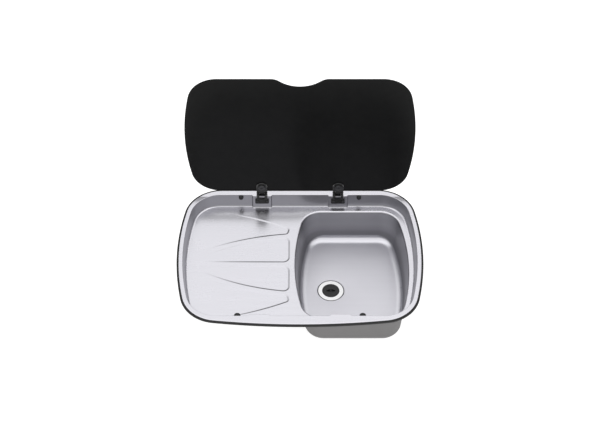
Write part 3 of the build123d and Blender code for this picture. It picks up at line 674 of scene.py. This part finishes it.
# %% [markdown]
# ## Round parts
#
# The buffers, screw heads, caps and the plug are round: the real ones are turned or come out of a
# round mould. Each is a profile of radius and height carried round an axis. The axes of the hinge
# screws and buffers stand on the sloping wall, so each part is worked out upright and then laid into
# the frame of its own spot.

# %% Turn a profile about an axis
def wall_frame(x, end, proud, down):
    """A spot on the tray's rear (end 1) or front (end -1) wall, this far down its slope: x along it,
    y up it, z out of it."""
    top = TRAY_REAR if end > 0 else -TRAY_FRONT
    origin = np.array([x, end * (top - proud - down * sin(WALL)), TOP - down * cos(WALL)])
    out = np.array([0.0, -end * cos(WALL), sin(WALL)])
    along = np.array([float(end), 0.0, 0.0])
    return origin, np.stack([along, np.cross(out, along), out])


CLAMP_HEIGHT = 39.2


def lid_frame(x, y, out):
    """A spot at a clamp screw on the glass, whose axis points to the rear (out 1) or front (-1)."""
    return np.array([x, y, CLAMP_HEIGHT]), np.array([[-out, 0, 0], [0, 0, 1], [0, out, 0]], float)


def turned(profile, frame, steps=64, relief=None):
    """Points x = r cos a, y = r sin a, z = height + relief(x, y), laid into a frame. The profile
    runs from the foot's centre outwards and up to the top's centre."""
    origin, axes = frame
    angle = np.linspace(0, 2 * np.pi, steps + 1)[:-1]
    radius, height = np.asarray(profile, float).T[..., None]
    x, y, z = np.broadcast_arrays(radius * np.cos(angle), radius * np.sin(angle), height)
    if relief is not None:
        z = z + relief(x, y) * (height > height.max() - 2.0)
    return origin + np.stack([x, y, z], -1) @ axes


def round_piece(name, shapes, body, slot, replaced):
    """One piece from several turned shapes, welded at their poles."""
    points, faces = stacked(shapes)
    piece = make_piece(name, points, faces, body, slot, replaced)
    print("open edges:", weld(piece))
    return piece


# %% [markdown]
# ### Lid buffers
#
# The closed lid would ring on the steel, so four rubber buttons hold it off. Each is pushed through
# a hole in the wall: a domed head in front, a thin stem in the sheet and a barb behind it. Each
# head has a small dimple in the middle.

# %% Buffers
SIDES = ((-1, "left"), (1, "right"))


def buffer_profile(radius, length, rounding, dimple):
    """Barb, stem and head from the back to the front, the head's edge an arc of the rounding."""
    return chain(
        np.array([(0, -4.3), (1.25, -4.3), (4.2, -0.9), (4.2, -0.8), (2.5, -0.8), (2.5, 0.0)]),
        np.array([(radius - 0.3, 0.0)]),
        bend((radius - 0.3, 0.3), 0.3, -90, 0, 4),
        bend((radius - rounding, length - rounding), rounding, 0, 90, 13),
        np.array([(dimple + 0.5, length), (dimple + 0.1, length - 0.15), (dimple - 0.3, length - 0.7)]),
        np.array([(0.6, length - 0.9), (0, length - 0.9)]),
    )


buffers = []
for side, label in SIDES:
    rear = turned(buffer_profile(6.0, 6.0, 3.2, 1.6), wall_frame(side * 149.0, 1, 0, 6.5))
    front = turned(buffer_profile(7.75, 10.3, 5.3, 1.3), wall_frame(side * 148.0, -1, 0, 9.6))
    for wall, rows in (("rear", rear), ("front", front)):
        solid = [f"{wall}_buffer_{label}"]
        buffers.append(round_piece(f"{wall}_button_{label}", [rows], "root", "black_rubber", solid))

# %% [markdown]
# ### Screws and caps
#
# Each hinge base is held by two pan-head screws and each lid arm by one large-headed clamp screw
# that goes through the glass into a round cap. A cross recess is a hollow in the head's height: a
# smooth step of the distance to a plus sign, which the polar grid of the head follows.

# %% Screws
def cross_recess(arm, half_width, depth):
    """Depth below the head inside a plus sign: distance to the nearer arm, smoothed over 0.3 mm."""
    def relief(x, y):
        ax, ay = np.abs(x), np.abs(y)
        level, upright = np.maximum(ax - arm, ay - half_width), np.maximum(ay - arm, ax - half_width)
        return -depth * smooth_step(0.5 - np.minimum(level, upright) / 0.3)
    return relief


def screw_profile(shank, length, head, height, rounding):
    """Shank from its end up, then a head with a rounded edge and fine rings over its face."""
    face = np.linspace(head - rounding, 0, 30)
    brim = height - 0.15 * rounding
    return chain(
        np.array([(0, -length), (shank - 0.4, -length), (shank, -length + 0.4), (shank, 0)]),
        np.array([(head - 0.15, 0), (head, 0.15)]),
        bend((head - rounding, brim - rounding), rounding, 0, 90, 9)[:-1],
        np.stack([face, height - 0.15 * rounding * (face / head) ** 2], -1),
    )


base_pan, base_cross = screw_profile(2.0, 11.7, 3.9, 2.2, 1.2), cross_recess(2.1, 0.45, 1.2)
base_shapes = [
    turned(base_pan, (origin + 4.0 * axes[2] + place * axes[0], axes), 72, base_cross)
    for origin, axes in (wall_frame(side * BOSS_X, 1, BOSS_PROUD, 14.25) for side in (-1, 1))
    for place in (-11.8, 11.8)
]
hinge_screws = round_piece("hinge_base_screws", base_shapes, "root", "dark_screw", ["base_screws"])
clamp, clamp_cross = screw_profile(2.5, 11.1, 8.5, 3.5, 1.7), cross_recess(4.2, 0.8, 1.6)
clamp_shapes = [
    turned(clamp, lid_frame(side * BOSS_X, 195.2, -1), 96, clamp_cross) for side in (-1, 1)
]
lid_screws = round_piece("lid_clamp_screws", clamp_shapes, "lid", "dark_screw", ["clamp_screws"])

# %% Caps on the outer face of the glass
cap_profile = chain(
    np.array([(2.5, 2.6), (2.5, 0.0), (12.7, 0.0)]),
    bend((12.7, 0.3), 0.3, -90, 0, 4),
    bend((11.4, 2.0), 1.6, 0, 90, 10),
    np.array([(9.8, 3.6), (9.5, 3.45), (9.2, 3.4), (8.9, 3.45), (8.6, 3.6), (0, 3.6)]),
)
cap_profile = np.concatenate([[(0, 2.6)], cap_profile])
caps = []
for side, label in SIDES:
    rows = turned(cap_profile, lid_frame(side * BOSS_X, 203.2, 1), 96)
    caps.append(round_piece(f"lid_cap_{label}", [rows], "lid", "black_metal", [f"hinge_cap_{label}"]))

# %% [markdown]
# ### Plug
#
# The plug is a moulded rubber disc. A lens-shaped finger slot crosses its face with a bar left
# standing in the middle, so that it can be lifted out. The slot is a hollow in the same way as the
# screws' recess: its depth times a smooth step of the distance to two crossing circles.

# %% Plug
SLOT_LENGTH, SLOT_WIDTH, SLOT_DEPTH, BAR_HALF = 23.0, 9.0, 4.5, 1.2


def finger_slot(x, y):
    """As deep as the slot inside two circles that cross over its length, except under the bar."""
    bow = (SLOT_LENGTH**2 + SLOT_WIDTH**2) / (4 * SLOT_WIDTH)
    half = SLOT_WIDTH / 2
    gap = np.maximum(np.hypot(x, y - bow + half), np.hypot(x, y + bow - half)) - bow
    return -SLOT_DEPTH * smooth_step(0.5 - np.maximum(gap, BAR_HALF - np.abs(x)) / 0.6)


plug_face = np.linspace(20.3, 0, 64)
plug_profile = chain(
    np.array([(0, -5.2), (6.8, -5.2), (7.0, -5.4), (7.0, -7.7), (7.3, -8.0), (19.5, -8.0)]),
    np.array([(20.0, -7.6)]),
    bend((20.3, -0.9), 0.9, 0, 90, 8),
    np.stack([plug_face, 0.0 * plug_face], -1),
)
drain_plug = round_piece(
    "rubber_drain_plug",
    [turned(plug_profile, (np.array([*DRAIN, -126.9]), np.eye(3)), 240, finger_slot)],
    "plug",
    "plug_rubber",
    ["drain_plug"],
)

# %% [markdown]
# ## Shared finishes
#
# Every finish is worked out from the piece's own coordinates, so it needs no picture and stays with
# the piece when it moves. Three effects turn up in many finishes: the fine grain of brushing, faint
# marks of handling and dried water, and the pebbled skin of moulded rubber. Each is a node group,
# built once, that only puts out values; the shader itself stays in each material.

# %% Node helpers
def wire(tree, kind, values=None, **settings):
    """A node with its settings, whose inputs are given as numbers or as other nodes' sockets."""
    item = tree.nodes.new(kind)
    for name, value in settings.items():
        setattr(item, name, value)
    for key, value in (values or {}).items():
        if isinstance(value, bpy.types.NodeSocket):
            tree.links.new(value, item.inputs[key])
        else:
            item.inputs[key].default_value = value
    return item


def effect_group(name, inputs, outputs):
    """An empty node group with named inputs (socket type and value) and outputs."""
    group = bpy.data.node_groups.new(name, "ShaderNodeTree")
    for label, (kind, value) in inputs.items():
        socket = group.interface.new_socket(label, in_out="INPUT", socket_type=kind)
        if value is not None:
            socket.default_value = value
    for label, kind in outputs.items():
        group.interface.new_socket(label, in_out="OUTPUT", socket_type=kind)
    return group, group.nodes.new("NodeGroupInput"), group.nodes.new("NodeGroupOutput")


def math(tree, operation, first, second=0.0, clamp=False):
    """One arithmetic step."""
    inputs = {0: first, 1: second}
    return wire(tree, "ShaderNodeMath", inputs, operation=operation, use_clamp=clamp).outputs[0]


FLOAT, VECTOR = "NodeSocketFloat", "NodeSocketVector"

# %% [markdown]
# ### Brushed grain
#
# Brushing leaves thousands of fine parallel scratches. Noise stretched a hundredfold along one
# direction looks the same: long pale and dark hairs. A second, coarser noise groups the hairs into
# bands, which is what the eye sees from a metre away.

# %% Brushed grain group
grain, grain_in, grain_out = effect_group(
    "brushed_grain",
    {
        "Coordinates": (VECTOR, None),
        "Hairs": (VECTOR, (8.0, 900.0, 900.0)),
        "Bands": (VECTOR, (2.0, 60.0, 60.0)),
    },
    {"Hair": FLOAT, "Band": FLOAT},
)
for label, stretch, detail in (("Hair", "Hairs", 3.0), ("Band", "Bands", 2.0)):
    factors = {0: grain_in.outputs["Coordinates"], 1: grain_in.outputs[stretch]}
    stretched = wire(grain, "ShaderNodeVectorMath", factors, operation="MULTIPLY").outputs[0]
    noise = {"Vector": stretched, "Scale": 1.0, "Detail": detail, "Roughness": 0.6}
    hair = wire(grain, "ShaderNodeTexNoise", noise)
    grain.links.new(hair.outputs["Fac"], grain_out.inputs[label])
print(grain.name, "group with", len(grain.nodes), "nodes")

# %% [markdown]
# ### Marks of use
#
# A sink is never quite even: there are veils where water has dried and a few finer smears. They
# hardly change the colour. They change how sharp the reflection is, so the group puts out one value
# that the finishes add to their roughness.

# %% Marks group
marks, marks_in, marks_out = effect_group(
    "marks_of_use",
    {"Coordinates": (VECTOR, None), "Size": (FLOAT, 14.0), "Cover": (FLOAT, 0.5)},
    {"Veil": FLOAT, "Smear": FLOAT},
)
noise = {"Scale": marks_in.outputs["Size"], "Detail": 5.0, "Roughness": 0.55, "Distortion": 0.6}
veil = wire(marks, "ShaderNodeTexNoise", {"Vector": marks_in.outputs["Coordinates"], **noise})
edge = math(marks, "SUBTRACT", veil.outputs["Fac"], marks_in.outputs["Cover"])
marks.links.new(math(marks, "MULTIPLY", edge, 5.0, clamp=True), marks_out.inputs["Veil"])
fine = math(marks, "MULTIPLY", marks_in.outputs["Size"], 7.0)
noise = {"Scale": fine, "Detail": 3.0, "Roughness": 0.7}
smear = wire(marks, "ShaderNodeTexNoise", {"Vector": marks_in.outputs["Coordinates"], **noise})
marks.links.new(smear.outputs["Fac"], marks_out.inputs["Smear"])
print(marks.name, "group with", len(marks.nodes), "nodes")

# %% [markdown]
# ### Moulded skin
#
# Rubber and die-cast parts take the skin of their mould: small even pebbles. A Voronoi pattern's
# distance from its cell centres makes them.

# %% Moulded skin group
skin, skin_in, skin_out = effect_group(
    "moulded_skin",
    {"Coordinates": (VECTOR, None), "Pebble": (FLOAT, 1500.0)},
    {"Height": FLOAT, "Cloud": FLOAT},
)
cells = {"Vector": skin_in.outputs["Coordinates"], "Scale": skin_in.outputs["Pebble"]}
pebble = wire(skin, "ShaderNodeTexVoronoi", cells, feature="SMOOTH_F1")
noise = {"Vector": skin_in.outputs["Coordinates"], "Scale": 60.0, "Detail": 4.0}
cloud = wire(skin, "ShaderNodeTexNoise", noise)
skin.links.new(pebble.outputs["Distance"], skin_out.inputs["Height"])
skin.links.new(cloud.outputs["Fac"], skin_out.inputs["Cloud"])
print(skin.name, "group with", len(skin.nodes), "nodes")


# %% A new material
def new_finish(name, **constants):
    """A material with its shader, its coordinates and constants on the shader's own sockets."""
    material = bpy.data.materials.new(name)
    material.use_nodes = True
    tree = material.node_tree
    shader = tree.nodes["Principled BSDF"]
    for label, value in constants.items():
        shader.inputs[label.replace("_", " ")].default_value = value
    place = tree.nodes.new("ShaderNodeTexCoord").outputs["Object"]
    return material, tree, shader, place


def use_group(tree, group, values):
    """Places an effect group in a material with its own values."""
    return wire(tree, "ShaderNodeGroup", values, node_tree=group).outputs


def graded(tree, fac, low, high, edge=0.3):
    """A colour that goes from low to high, and stays level below the edge and above 1 - edge."""
    ramp = wire(tree, "ShaderNodeValToRGB", {"Fac": fac})
    for element, place, colour in zip(ramp.color_ramp.elements, (edge, 1 - edge), (low, high)):
        element.position, element.color = place, (*colour, 1.0)
    return ramp.outputs["Color"]


def shades(colour, darker, paler):
    """The colour times each of two factors."""
    return [tuple(channel * factor for channel in colour) for factor in (darker, paler)]


def ranged(tree, value, low, high, from_low=0.0, from_high=1.0):
    """The value moved from one range to another."""
    limits = {"From Min": from_low, "From Max": from_high, "To Min": low, "To Max": high}
    return wire(tree, "ShaderNodeMapRange", {"Value": value, **limits}).outputs["Result"]


def blended(tree, first, share, second, other_share):
    """first x share + second x other_share."""
    parts = [math(tree, "MULTIPLY", *pair) for pair in ((first, share), (second, other_share))]
    return math(tree, "ADD", *parts)


def uneven(tree, roughness, spread, pattern, veil, strength):
    """A roughness that varies with a pattern and changes by the strength under the veils."""
    varied = ranged(tree, pattern, roughness - spread, roughness + spread, 0.3, 0.7)
    return math(tree, "ADD", varied, math(tree, "MULTIPLY", veil, strength))


def dress(tree, shader, colour, roughness, bump=None):
    """Links a colour, a roughness and a bump (height, strength, metres) to the shader."""
    tree.links.new(colour, shader.inputs["Base Color"])
    tree.links.new(roughness, shader.inputs["Roughness"])
    if bump:
        relief = wire(tree, "ShaderNodeBump", dict(zip(("Height", "Strength", "Distance"), bump)))
        tree.links.new(relief.outputs["Normal"], shader.inputs["Normal"])


# %% [markdown]
# ## Satin steel
#
# The sink's sheet is stainless steel with a fine brushed finish that runs from left to right. It is a
# plain metal, a cool pale grey on top, and most of its look comes from what it mirrors and how blurred
# that is. The grain therefore goes to roughness and bump, and only a trace to colour. The painted
# values then add painted shade and roughness where plain steel in this light came out paler or sharper
# than in the photo. The underside has its own darker grey, also matched to the photo: a rougher finish
# whose darker colour is painted shade on the faces that look down.

# %% Satin steel
def satin_steel(name, low, high, roughness, shade_factor):
    """Brushed sheet with hairs along x. Its first painted value is painted shade: there the colour is
    darker, down to the given shade factor, and a little rougher. Where it is painted matte, it is much
    rougher."""
    material, tree, shader, place = new_finish(name, Metallic=1.0)
    stretch = {"Hairs": (9.0, 1100.0, 1100.0), "Bands": (2.5, 70.0, 70.0)}
    hairs = use_group(tree, grain, {"Coordinates": place, **stretch})
    use = use_group(tree, marks, {"Coordinates": place, "Size": 9.0, "Cover": 0.48})
    mixed = blended(tree, hairs["Hair"], 0.5, hairs["Band"], 0.5)
    drawn_here, matte_here = (
        wire(tree, "ShaderNodeAttribute", attribute_name=label).outputs["Fac"]
        for label in ("drawn", "matte")
    )
    graded_steel = graded(tree, mixed, low, high)
    # Painted shade: the colour is scaled from 1 down to the shade factor by the first painted value.
    colour = wire(tree, "ShaderNodeVectorMath", {0: graded_steel}, operation="SCALE")
    tree.links.new(ranged(tree, drawn_here, 1.0, shade_factor), colour.inputs["Scale"])
    rough = uneven(tree, roughness, 0.02, mixed, use["Veil"], 0.03)
    worn = blended(tree, drawn_here, 0.06, matte_here, 0.22)
    dress(tree, shader, colour.outputs[0], math(tree, "ADD", rough, worn), (mixed, 0.025, 0.0002))
    return material


satin = satin_steel("satin_pressed_steel", (0.742, 0.737, 0.785), (0.772, 0.767, 0.817), 0.26, 0.34)
# The underside: rougher steel, and its darker grey is painted shade for the faces that look down.
plain = satin_steel("rough_shaded_underside_steel", (0.235, 0.231, 0.231), (0.265, 0.261, 0.261), 0.45, 1.0)
for finish in (satin, plain):
    pressed_sink.data.materials.append(finish)


# %% Black glass
def black_glass():
    """Toughened glass, printed black behind: nearly black, smooth, with faint smears."""
    material, tree, shader, place = new_finish("black_lid_glass", Specular_IOR_Level=0.1)
    use = use_group(tree, marks, {"Coordinates": place, "Size": 5.0, "Cover": 0.45})
    colour = graded(tree, use["Smear"], (0.0085, 0.0088, 0.0088), (0.0105, 0.0108, 0.0105))
    dress(tree, shader, colour, math(tree, "ADD", math(tree, "MULTIPLY", use["Veil"], 0.05), 0.22))
    return material


glass_lid.data.materials.append(black_glass())


# %% Black rubber
def black_rubber(name, colour, roughness, pebble):
    """Moulded rubber: a dull black whose skin scatters light."""
    material, tree, shader, place = new_finish(name)
    mould = use_group(tree, skin, {"Coordinates": place, "Pebble": pebble})
    cloudy = graded(tree, mould["Cloud"], *shades(colour, 0.85, 1.15))
    rough = ranged(tree, mould["Cloud"], roughness - 0.05, roughness + 0.05)
    dress(tree, shader, cloudy, rough, (mould["Height"], 0.15, 0.0001))
    return material


seal_rubber = black_rubber("black_seal_rubber", (0.008, 0.008, 0.008), 0.6, 1500.0)
rubber_seal.data.materials.append(seal_rubber)
button_rubber = black_rubber("button_rubber", (0.010, 0.010, 0.011), 0.5, 2200.0)
for button in buffers:
    button.data.materials.append(button_rubber)
drain_plug.data.materials.append(black_rubber("plug_rubber", (0.018, 0.018, 0.0185), 0.45, 1800.0))


def finish_solids(finish, *names):
    """Gives a finish to solids of the drawing that keep their own shape."""
    for name in names:
        for held in nodes[name].material_slots:
            held.material = finish
    print(finish.name, "on", ", ".join(names))


finish_solids(
    black_rubber("gasket_rubber", (0.012, 0.012, 0.012), 0.6, 1500.0),
    "upper_gasket", "lower_gasket", "leaf_pad_left", "leaf_pad_right", "cap_pad_left", "cap_pad_right",
)

# %% [markdown]
# ## Powder-coated hinges
#
# The hinge brackets are die-cast and coated with a fine black powder. Baked powder leaves a skin like
# orange peel, coarser than rubber's, with a soft shine. Handling polishes it in places, so the veils
# of the marks group are taken off the roughness.

# %% Black powder coat
def powder_coat(name, colour, roughness, pebble):
    """Baked powder on a casting: black, finely lumpy, shinier where it has been handled."""
    material, tree, shader, place = new_finish(name)
    peel = use_group(tree, skin, {"Coordinates": place, "Pebble": pebble})
    use = use_group(tree, marks, {"Coordinates": place, "Size": 45.0, "Cover": 0.5})
    cloudy = graded(tree, peel["Cloud"], *shades(colour, 0.8, 1.25), edge=0.35)
    rough = uneven(tree, roughness, 0.06, use["Smear"], use["Veil"], -0.08)
    dress(tree, shader, cloudy, rough, (peel["Height"], 0.25, 0.00015))
    return material


hinge_black = powder_coat("black_powder_coat", (0.006, 0.006, 0.0063), 0.42, 1100.0)
finish_solids(hinge_black, "hinge_base_left", "hinge_base_right", "hinge_leaf_left", "hinge_leaf_right")
for cap in caps:
    cap.data.materials.append(hinge_black)

# %% [markdown]
# ## Small metal parts
#
# Screws, pins, nuts, the drain ring and the brass insert are machined metal. A lathe leaves rings
# round the axis and rolling leaves straight hairs. One finish does both: it stretches the grain along
# x, or along the rings when it is given a centre, because there the pattern reads the distance from
# that centre instead of the place itself.

# %% Machined metal
def machined_metal(name, low, high, roughness, centre=None, mark_size=30.0):
    """Metal with tool marks, straight or as rings round a centre in millimetres."""
    material, tree, shader, place = new_finish(name, Metallic=1.0)
    along = place
    if centre is not None:
        shift = {"Vector": place, "Location": [-MM * value for value in centre]}
        shifted = wire(tree, "ShaderNodeMapping", shift, vector_type="POINT").outputs["Vector"]
        plan = {0: shifted, 1: (1.0, 1.0, 0.0)}
        flat = wire(tree, "ShaderNodeVectorMath", plan, operation="MULTIPLY").outputs[0]
        ring = wire(tree, "ShaderNodeVectorMath", {0: flat}, operation="LENGTH").outputs["Value"]
        height = wire(tree, "ShaderNodeSeparateXYZ", {0: place}).outputs["Z"]
        along = wire(tree, "ShaderNodeCombineXYZ", {"Y": ring, "Z": height}).outputs[0]
    stretch = {"Hairs": (20.0, 1400.0, 1400.0), "Bands": (6.0, 140.0, 140.0)}
    cut = use_group(tree, grain, {"Coordinates": along, **stretch})
    use = use_group(tree, marks, {"Coordinates": place, "Size": mark_size, "Cover": 0.5})
    mixed = blended(tree, cut["Hair"], 0.6, cut["Band"], 0.4)
    rough = uneven(tree, roughness, 0.04, mixed, use["Veil"], 0.06)
    dress(tree, shader, graded(tree, mixed, low, high), rough, (mixed, 0.06, 0.0001))
    return material


plain_steel = machined_metal("plain_zinc_steel", (0.42, 0.42, 0.43), (0.55, 0.55, 0.56), 0.38)
finish_solids(plain_steel, "backing_plate_left", "backing_plate_right", "base_nuts", "centre_screw")
pin_steel = machined_metal("dark_pin_steel", (0.06, 0.06, 0.062), (0.10, 0.10, 0.103), 0.4)
finish_solids(pin_steel, "hinge_pin_left", "hinge_pin_right")
drain_axis = (*DRAIN, 0.0)
drain_steel = machined_metal(
    "polished_drain_steel", (0.86, 0.86, 0.87), (0.93, 0.93, 0.94), 0.2, drain_axis
)
finish_solids(drain_steel, "waste_flange")
brass = machined_metal("turned_brass", (0.62, 0.44, 0.19), (0.75, 0.56, 0.27), 0.3, drain_axis)
finish_solids(brass, "thread_insert")
blackened = machined_metal(
    "blackened_screw_steel", (0.05, 0.05, 0.052), (0.09, 0.09, 0.093), 0.36, mark_size=80.0
)
for screws in (hinge_screws, lid_screws):
    screws.data.materials.append(blackened)

# %% [markdown]
# ## Moulded plastic
#
# The waste body under the bowl and the bushes in the glass are injection-moulded in a black plastic.
# It is smoother than rubber and a little greyer, with a faint cloud where the plastic cooled.

# %% Moulded plastic
def moulded_plastic(name, colour, roughness):
    """Injection-moulded plastic: a fine spark-eroded skin under a soft sheen."""
    material, tree, shader, place = new_finish(name)
    mould = use_group(tree, skin, {"Coordinates": place, "Pebble": 2600.0})
    use = use_group(tree, marks, {"Coordinates": place, "Size": 22.0, "Cover": 0.5})
    cloudy = graded(tree, mould["Cloud"], *shades(colour, 0.88, 1.12))
    rough = uneven(tree, roughness, 0.05, use["Smear"], use["Veil"], 0.05)
    dress(tree, shader, cloudy, rough, (mould["Height"], 0.1, 0.0001))
    return material


plastic = moulded_plastic("waste_plastic", (0.035, 0.035, 0.037), 0.42)
finish_solids(plastic, "waste_body", "glass_bushes")
bare = [
    name
    for name, solid in nodes.items()
    if not solid.hide_render
    and not any(held.material and held.material.use_nodes for held in solid.material_slots)
]
print("solids without a finish:", bare)

# %% [markdown]
# ## Floor, light and camera
#
# The camera's place was worked out from the photo: straight in front, 47.5 degrees above the
# worktop. The light is a white surrounding, one soft lamp and a diffuser overhead. Three dark flags
# and a dim card just above the rear flange are there for the steel to mirror. All of it was set for
# the photo's angle. The open lid is left out of reflections, because the photo's steel doesn't show it.

# %% Camera
scene = bpy.context.scene
scene.view_settings.view_transform = "Standard"
camera_data = bpy.data.cameras.new("camera")
camera_data.lens = 90.0
camera_data.sensor_width = 36.0
camera = bpy.data.objects.new("camera", camera_data)
camera.location = (0.0, -2.4152, 2.7525)
camera.rotation_euler = (radians(42.5), 0.0, 0.0)
scene.collection.objects.link(camera)
scene.camera = camera

# %% Lamp and cards
AMBIENT, OVERHEAD, REAR_FILL, FLOOR_GLOW = 0.5, 1.2, 0.38, 0.78
CARD_GREY = 0.02


def lamp(name, place, aim, size, brightness):
    """A soft rectangular lamp that nothing mirrors. Its power is brightness x pi x area."""
    light = bpy.data.lights.new(name, "AREA")
    light.shape = "RECTANGLE"
    light.size, light.size_y = size
    light.energy = brightness * np.pi * size[0] * size[1]
    holder = bpy.data.objects.new(name, light)
    holder.location = place
    holder.rotation_euler = Vector(np.subtract(aim, place)).to_track_quat("-Z", "Y").to_euler()
    holder.visible_camera = False
    holder.visible_glossy = False
    scene.collection.objects.link(holder)


def flat_piece(name, corners, finish):
    """A flat piece of the studio with four corners."""
    mesh = bpy.data.meshes.new(name)
    mesh.from_pydata(corners, [], [(0, 1, 2, 3)])
    mesh.materials.append(finish)
    piece = bpy.data.objects.new(name, mesh)
    scene.collection.objects.link(piece)
    return piece


def card(name, corners, glow=0.0, only_mirrored=True):
    """A card that the camera itself never sees, and that lights nothing if it is only mirrored."""
    white = (1, 1, 1, 1)
    material, tree, shader, place = new_finish(
        name, Roughness=0.9, Emission_Color=white, Emission_Strength=glow
    )
    cloud = wire(tree, "ShaderNodeTexNoise", {"Vector": place, "Scale": 2.0}).outputs["Fac"]
    colour = graded(tree, cloud, (CARD_GREY,) * 3, (CARD_GREY * 1.05,) * 3, edge=0.0)
    tree.links.new(colour, shader.inputs["Base Color"])
    material.cycles.emission_sampling = "NONE"
    piece = flat_piece(name, corners, material)
    piece.visible_camera = False
    piece.visible_diffuse = piece.visible_shadow = not only_mirrored


def upright(first, last, low, high):
    """Corners of an upright card over the line from first to last, between two heights."""
    return [(*first, low), (*first, high), (*last, high), (*last, low)]


lamp("key", (-0.9, -0.6, 2.2), (0, 0, 0), (1.8, 1.4), 0.35)
overhead = [(-1.5, -0.8, 1.9), (1.5, -0.8, 1.9), (1.5, 0.9, 1.9), (-1.5, 0.9, 1.9)]
card("overhead_diffuser", overhead, OVERHEAD, only_mirrored=False)
FLAG_OUT, FLAG_FOOT, FLAG_TOP = 1.5, -0.19, 0.55
flags = {"rear": ((1, 1), (-1, 1)), "left": ((-1, 1), (-1, -1)), "right": ((1, -1), (1, 1))}
for label, ends in flags.items():
    first, last = ((x * FLAG_OUT, y * FLAG_OUT) for x, y in ends)
    card(f"{label}_flag", upright(first, last, FLAG_FOOT, FLAG_TOP))
card("rear_fill", upright((0.29, 0.1955), (-0.29, 0.1955), 0.0065, 0.026), REAR_FILL)
glass_lid.visible_glossy = False


# %% Floor and background
def seen_directly(tree):
    """1 where the camera, a reflection or a transmission looks, 0 for light that spreads."""
    ray = tree.nodes.new("ShaderNodeLightPath").outputs
    direct = math(tree, "MAXIMUM", ray["Is Camera Ray"], ray["Is Glossy Ray"])
    return math(tree, "MAXIMUM", direct, ray["Is Transmission Ray"])


floor_finish, tree, shader, _ = new_finish(
    "pale_floor", Roughness=0.9, Base_Color=(0.85, 0.85, 0.85, 1), Emission_Color=(1, 1, 1, 1)
)
floor_glow = ranged(tree, seen_directly(tree), 0.0, FLOOR_GLOW)
tree.links.new(floor_glow, shader.inputs["Emission Strength"])
floor_finish.cycles.emission_sampling = "NONE"
FLOOR_HALF, FLOOR_Z = 6, -0.1925
plan = ((-1, -1), (1, -1), (1, 1), (-1, 1))
floor_corners = [(x * FLOOR_HALF, y * FLOOR_HALF, FLOOR_Z) for x, y in plan]
studio_floor = flat_piece("studio_floor", floor_corners, floor_finish)

world = bpy.data.worlds.new("studio")
scene.world = world
world.use_nodes = True
world.cycles.sampling_method = "NONE"
tree = world.node_tree
background = tree.nodes["Background"]
background.inputs["Color"].default_value = (1, 1, 1, 1)
ambient = ranged(tree, seen_directly(tree), AMBIENT, 1.0)
tree.links.new(ambient, background.inputs["Strength"])
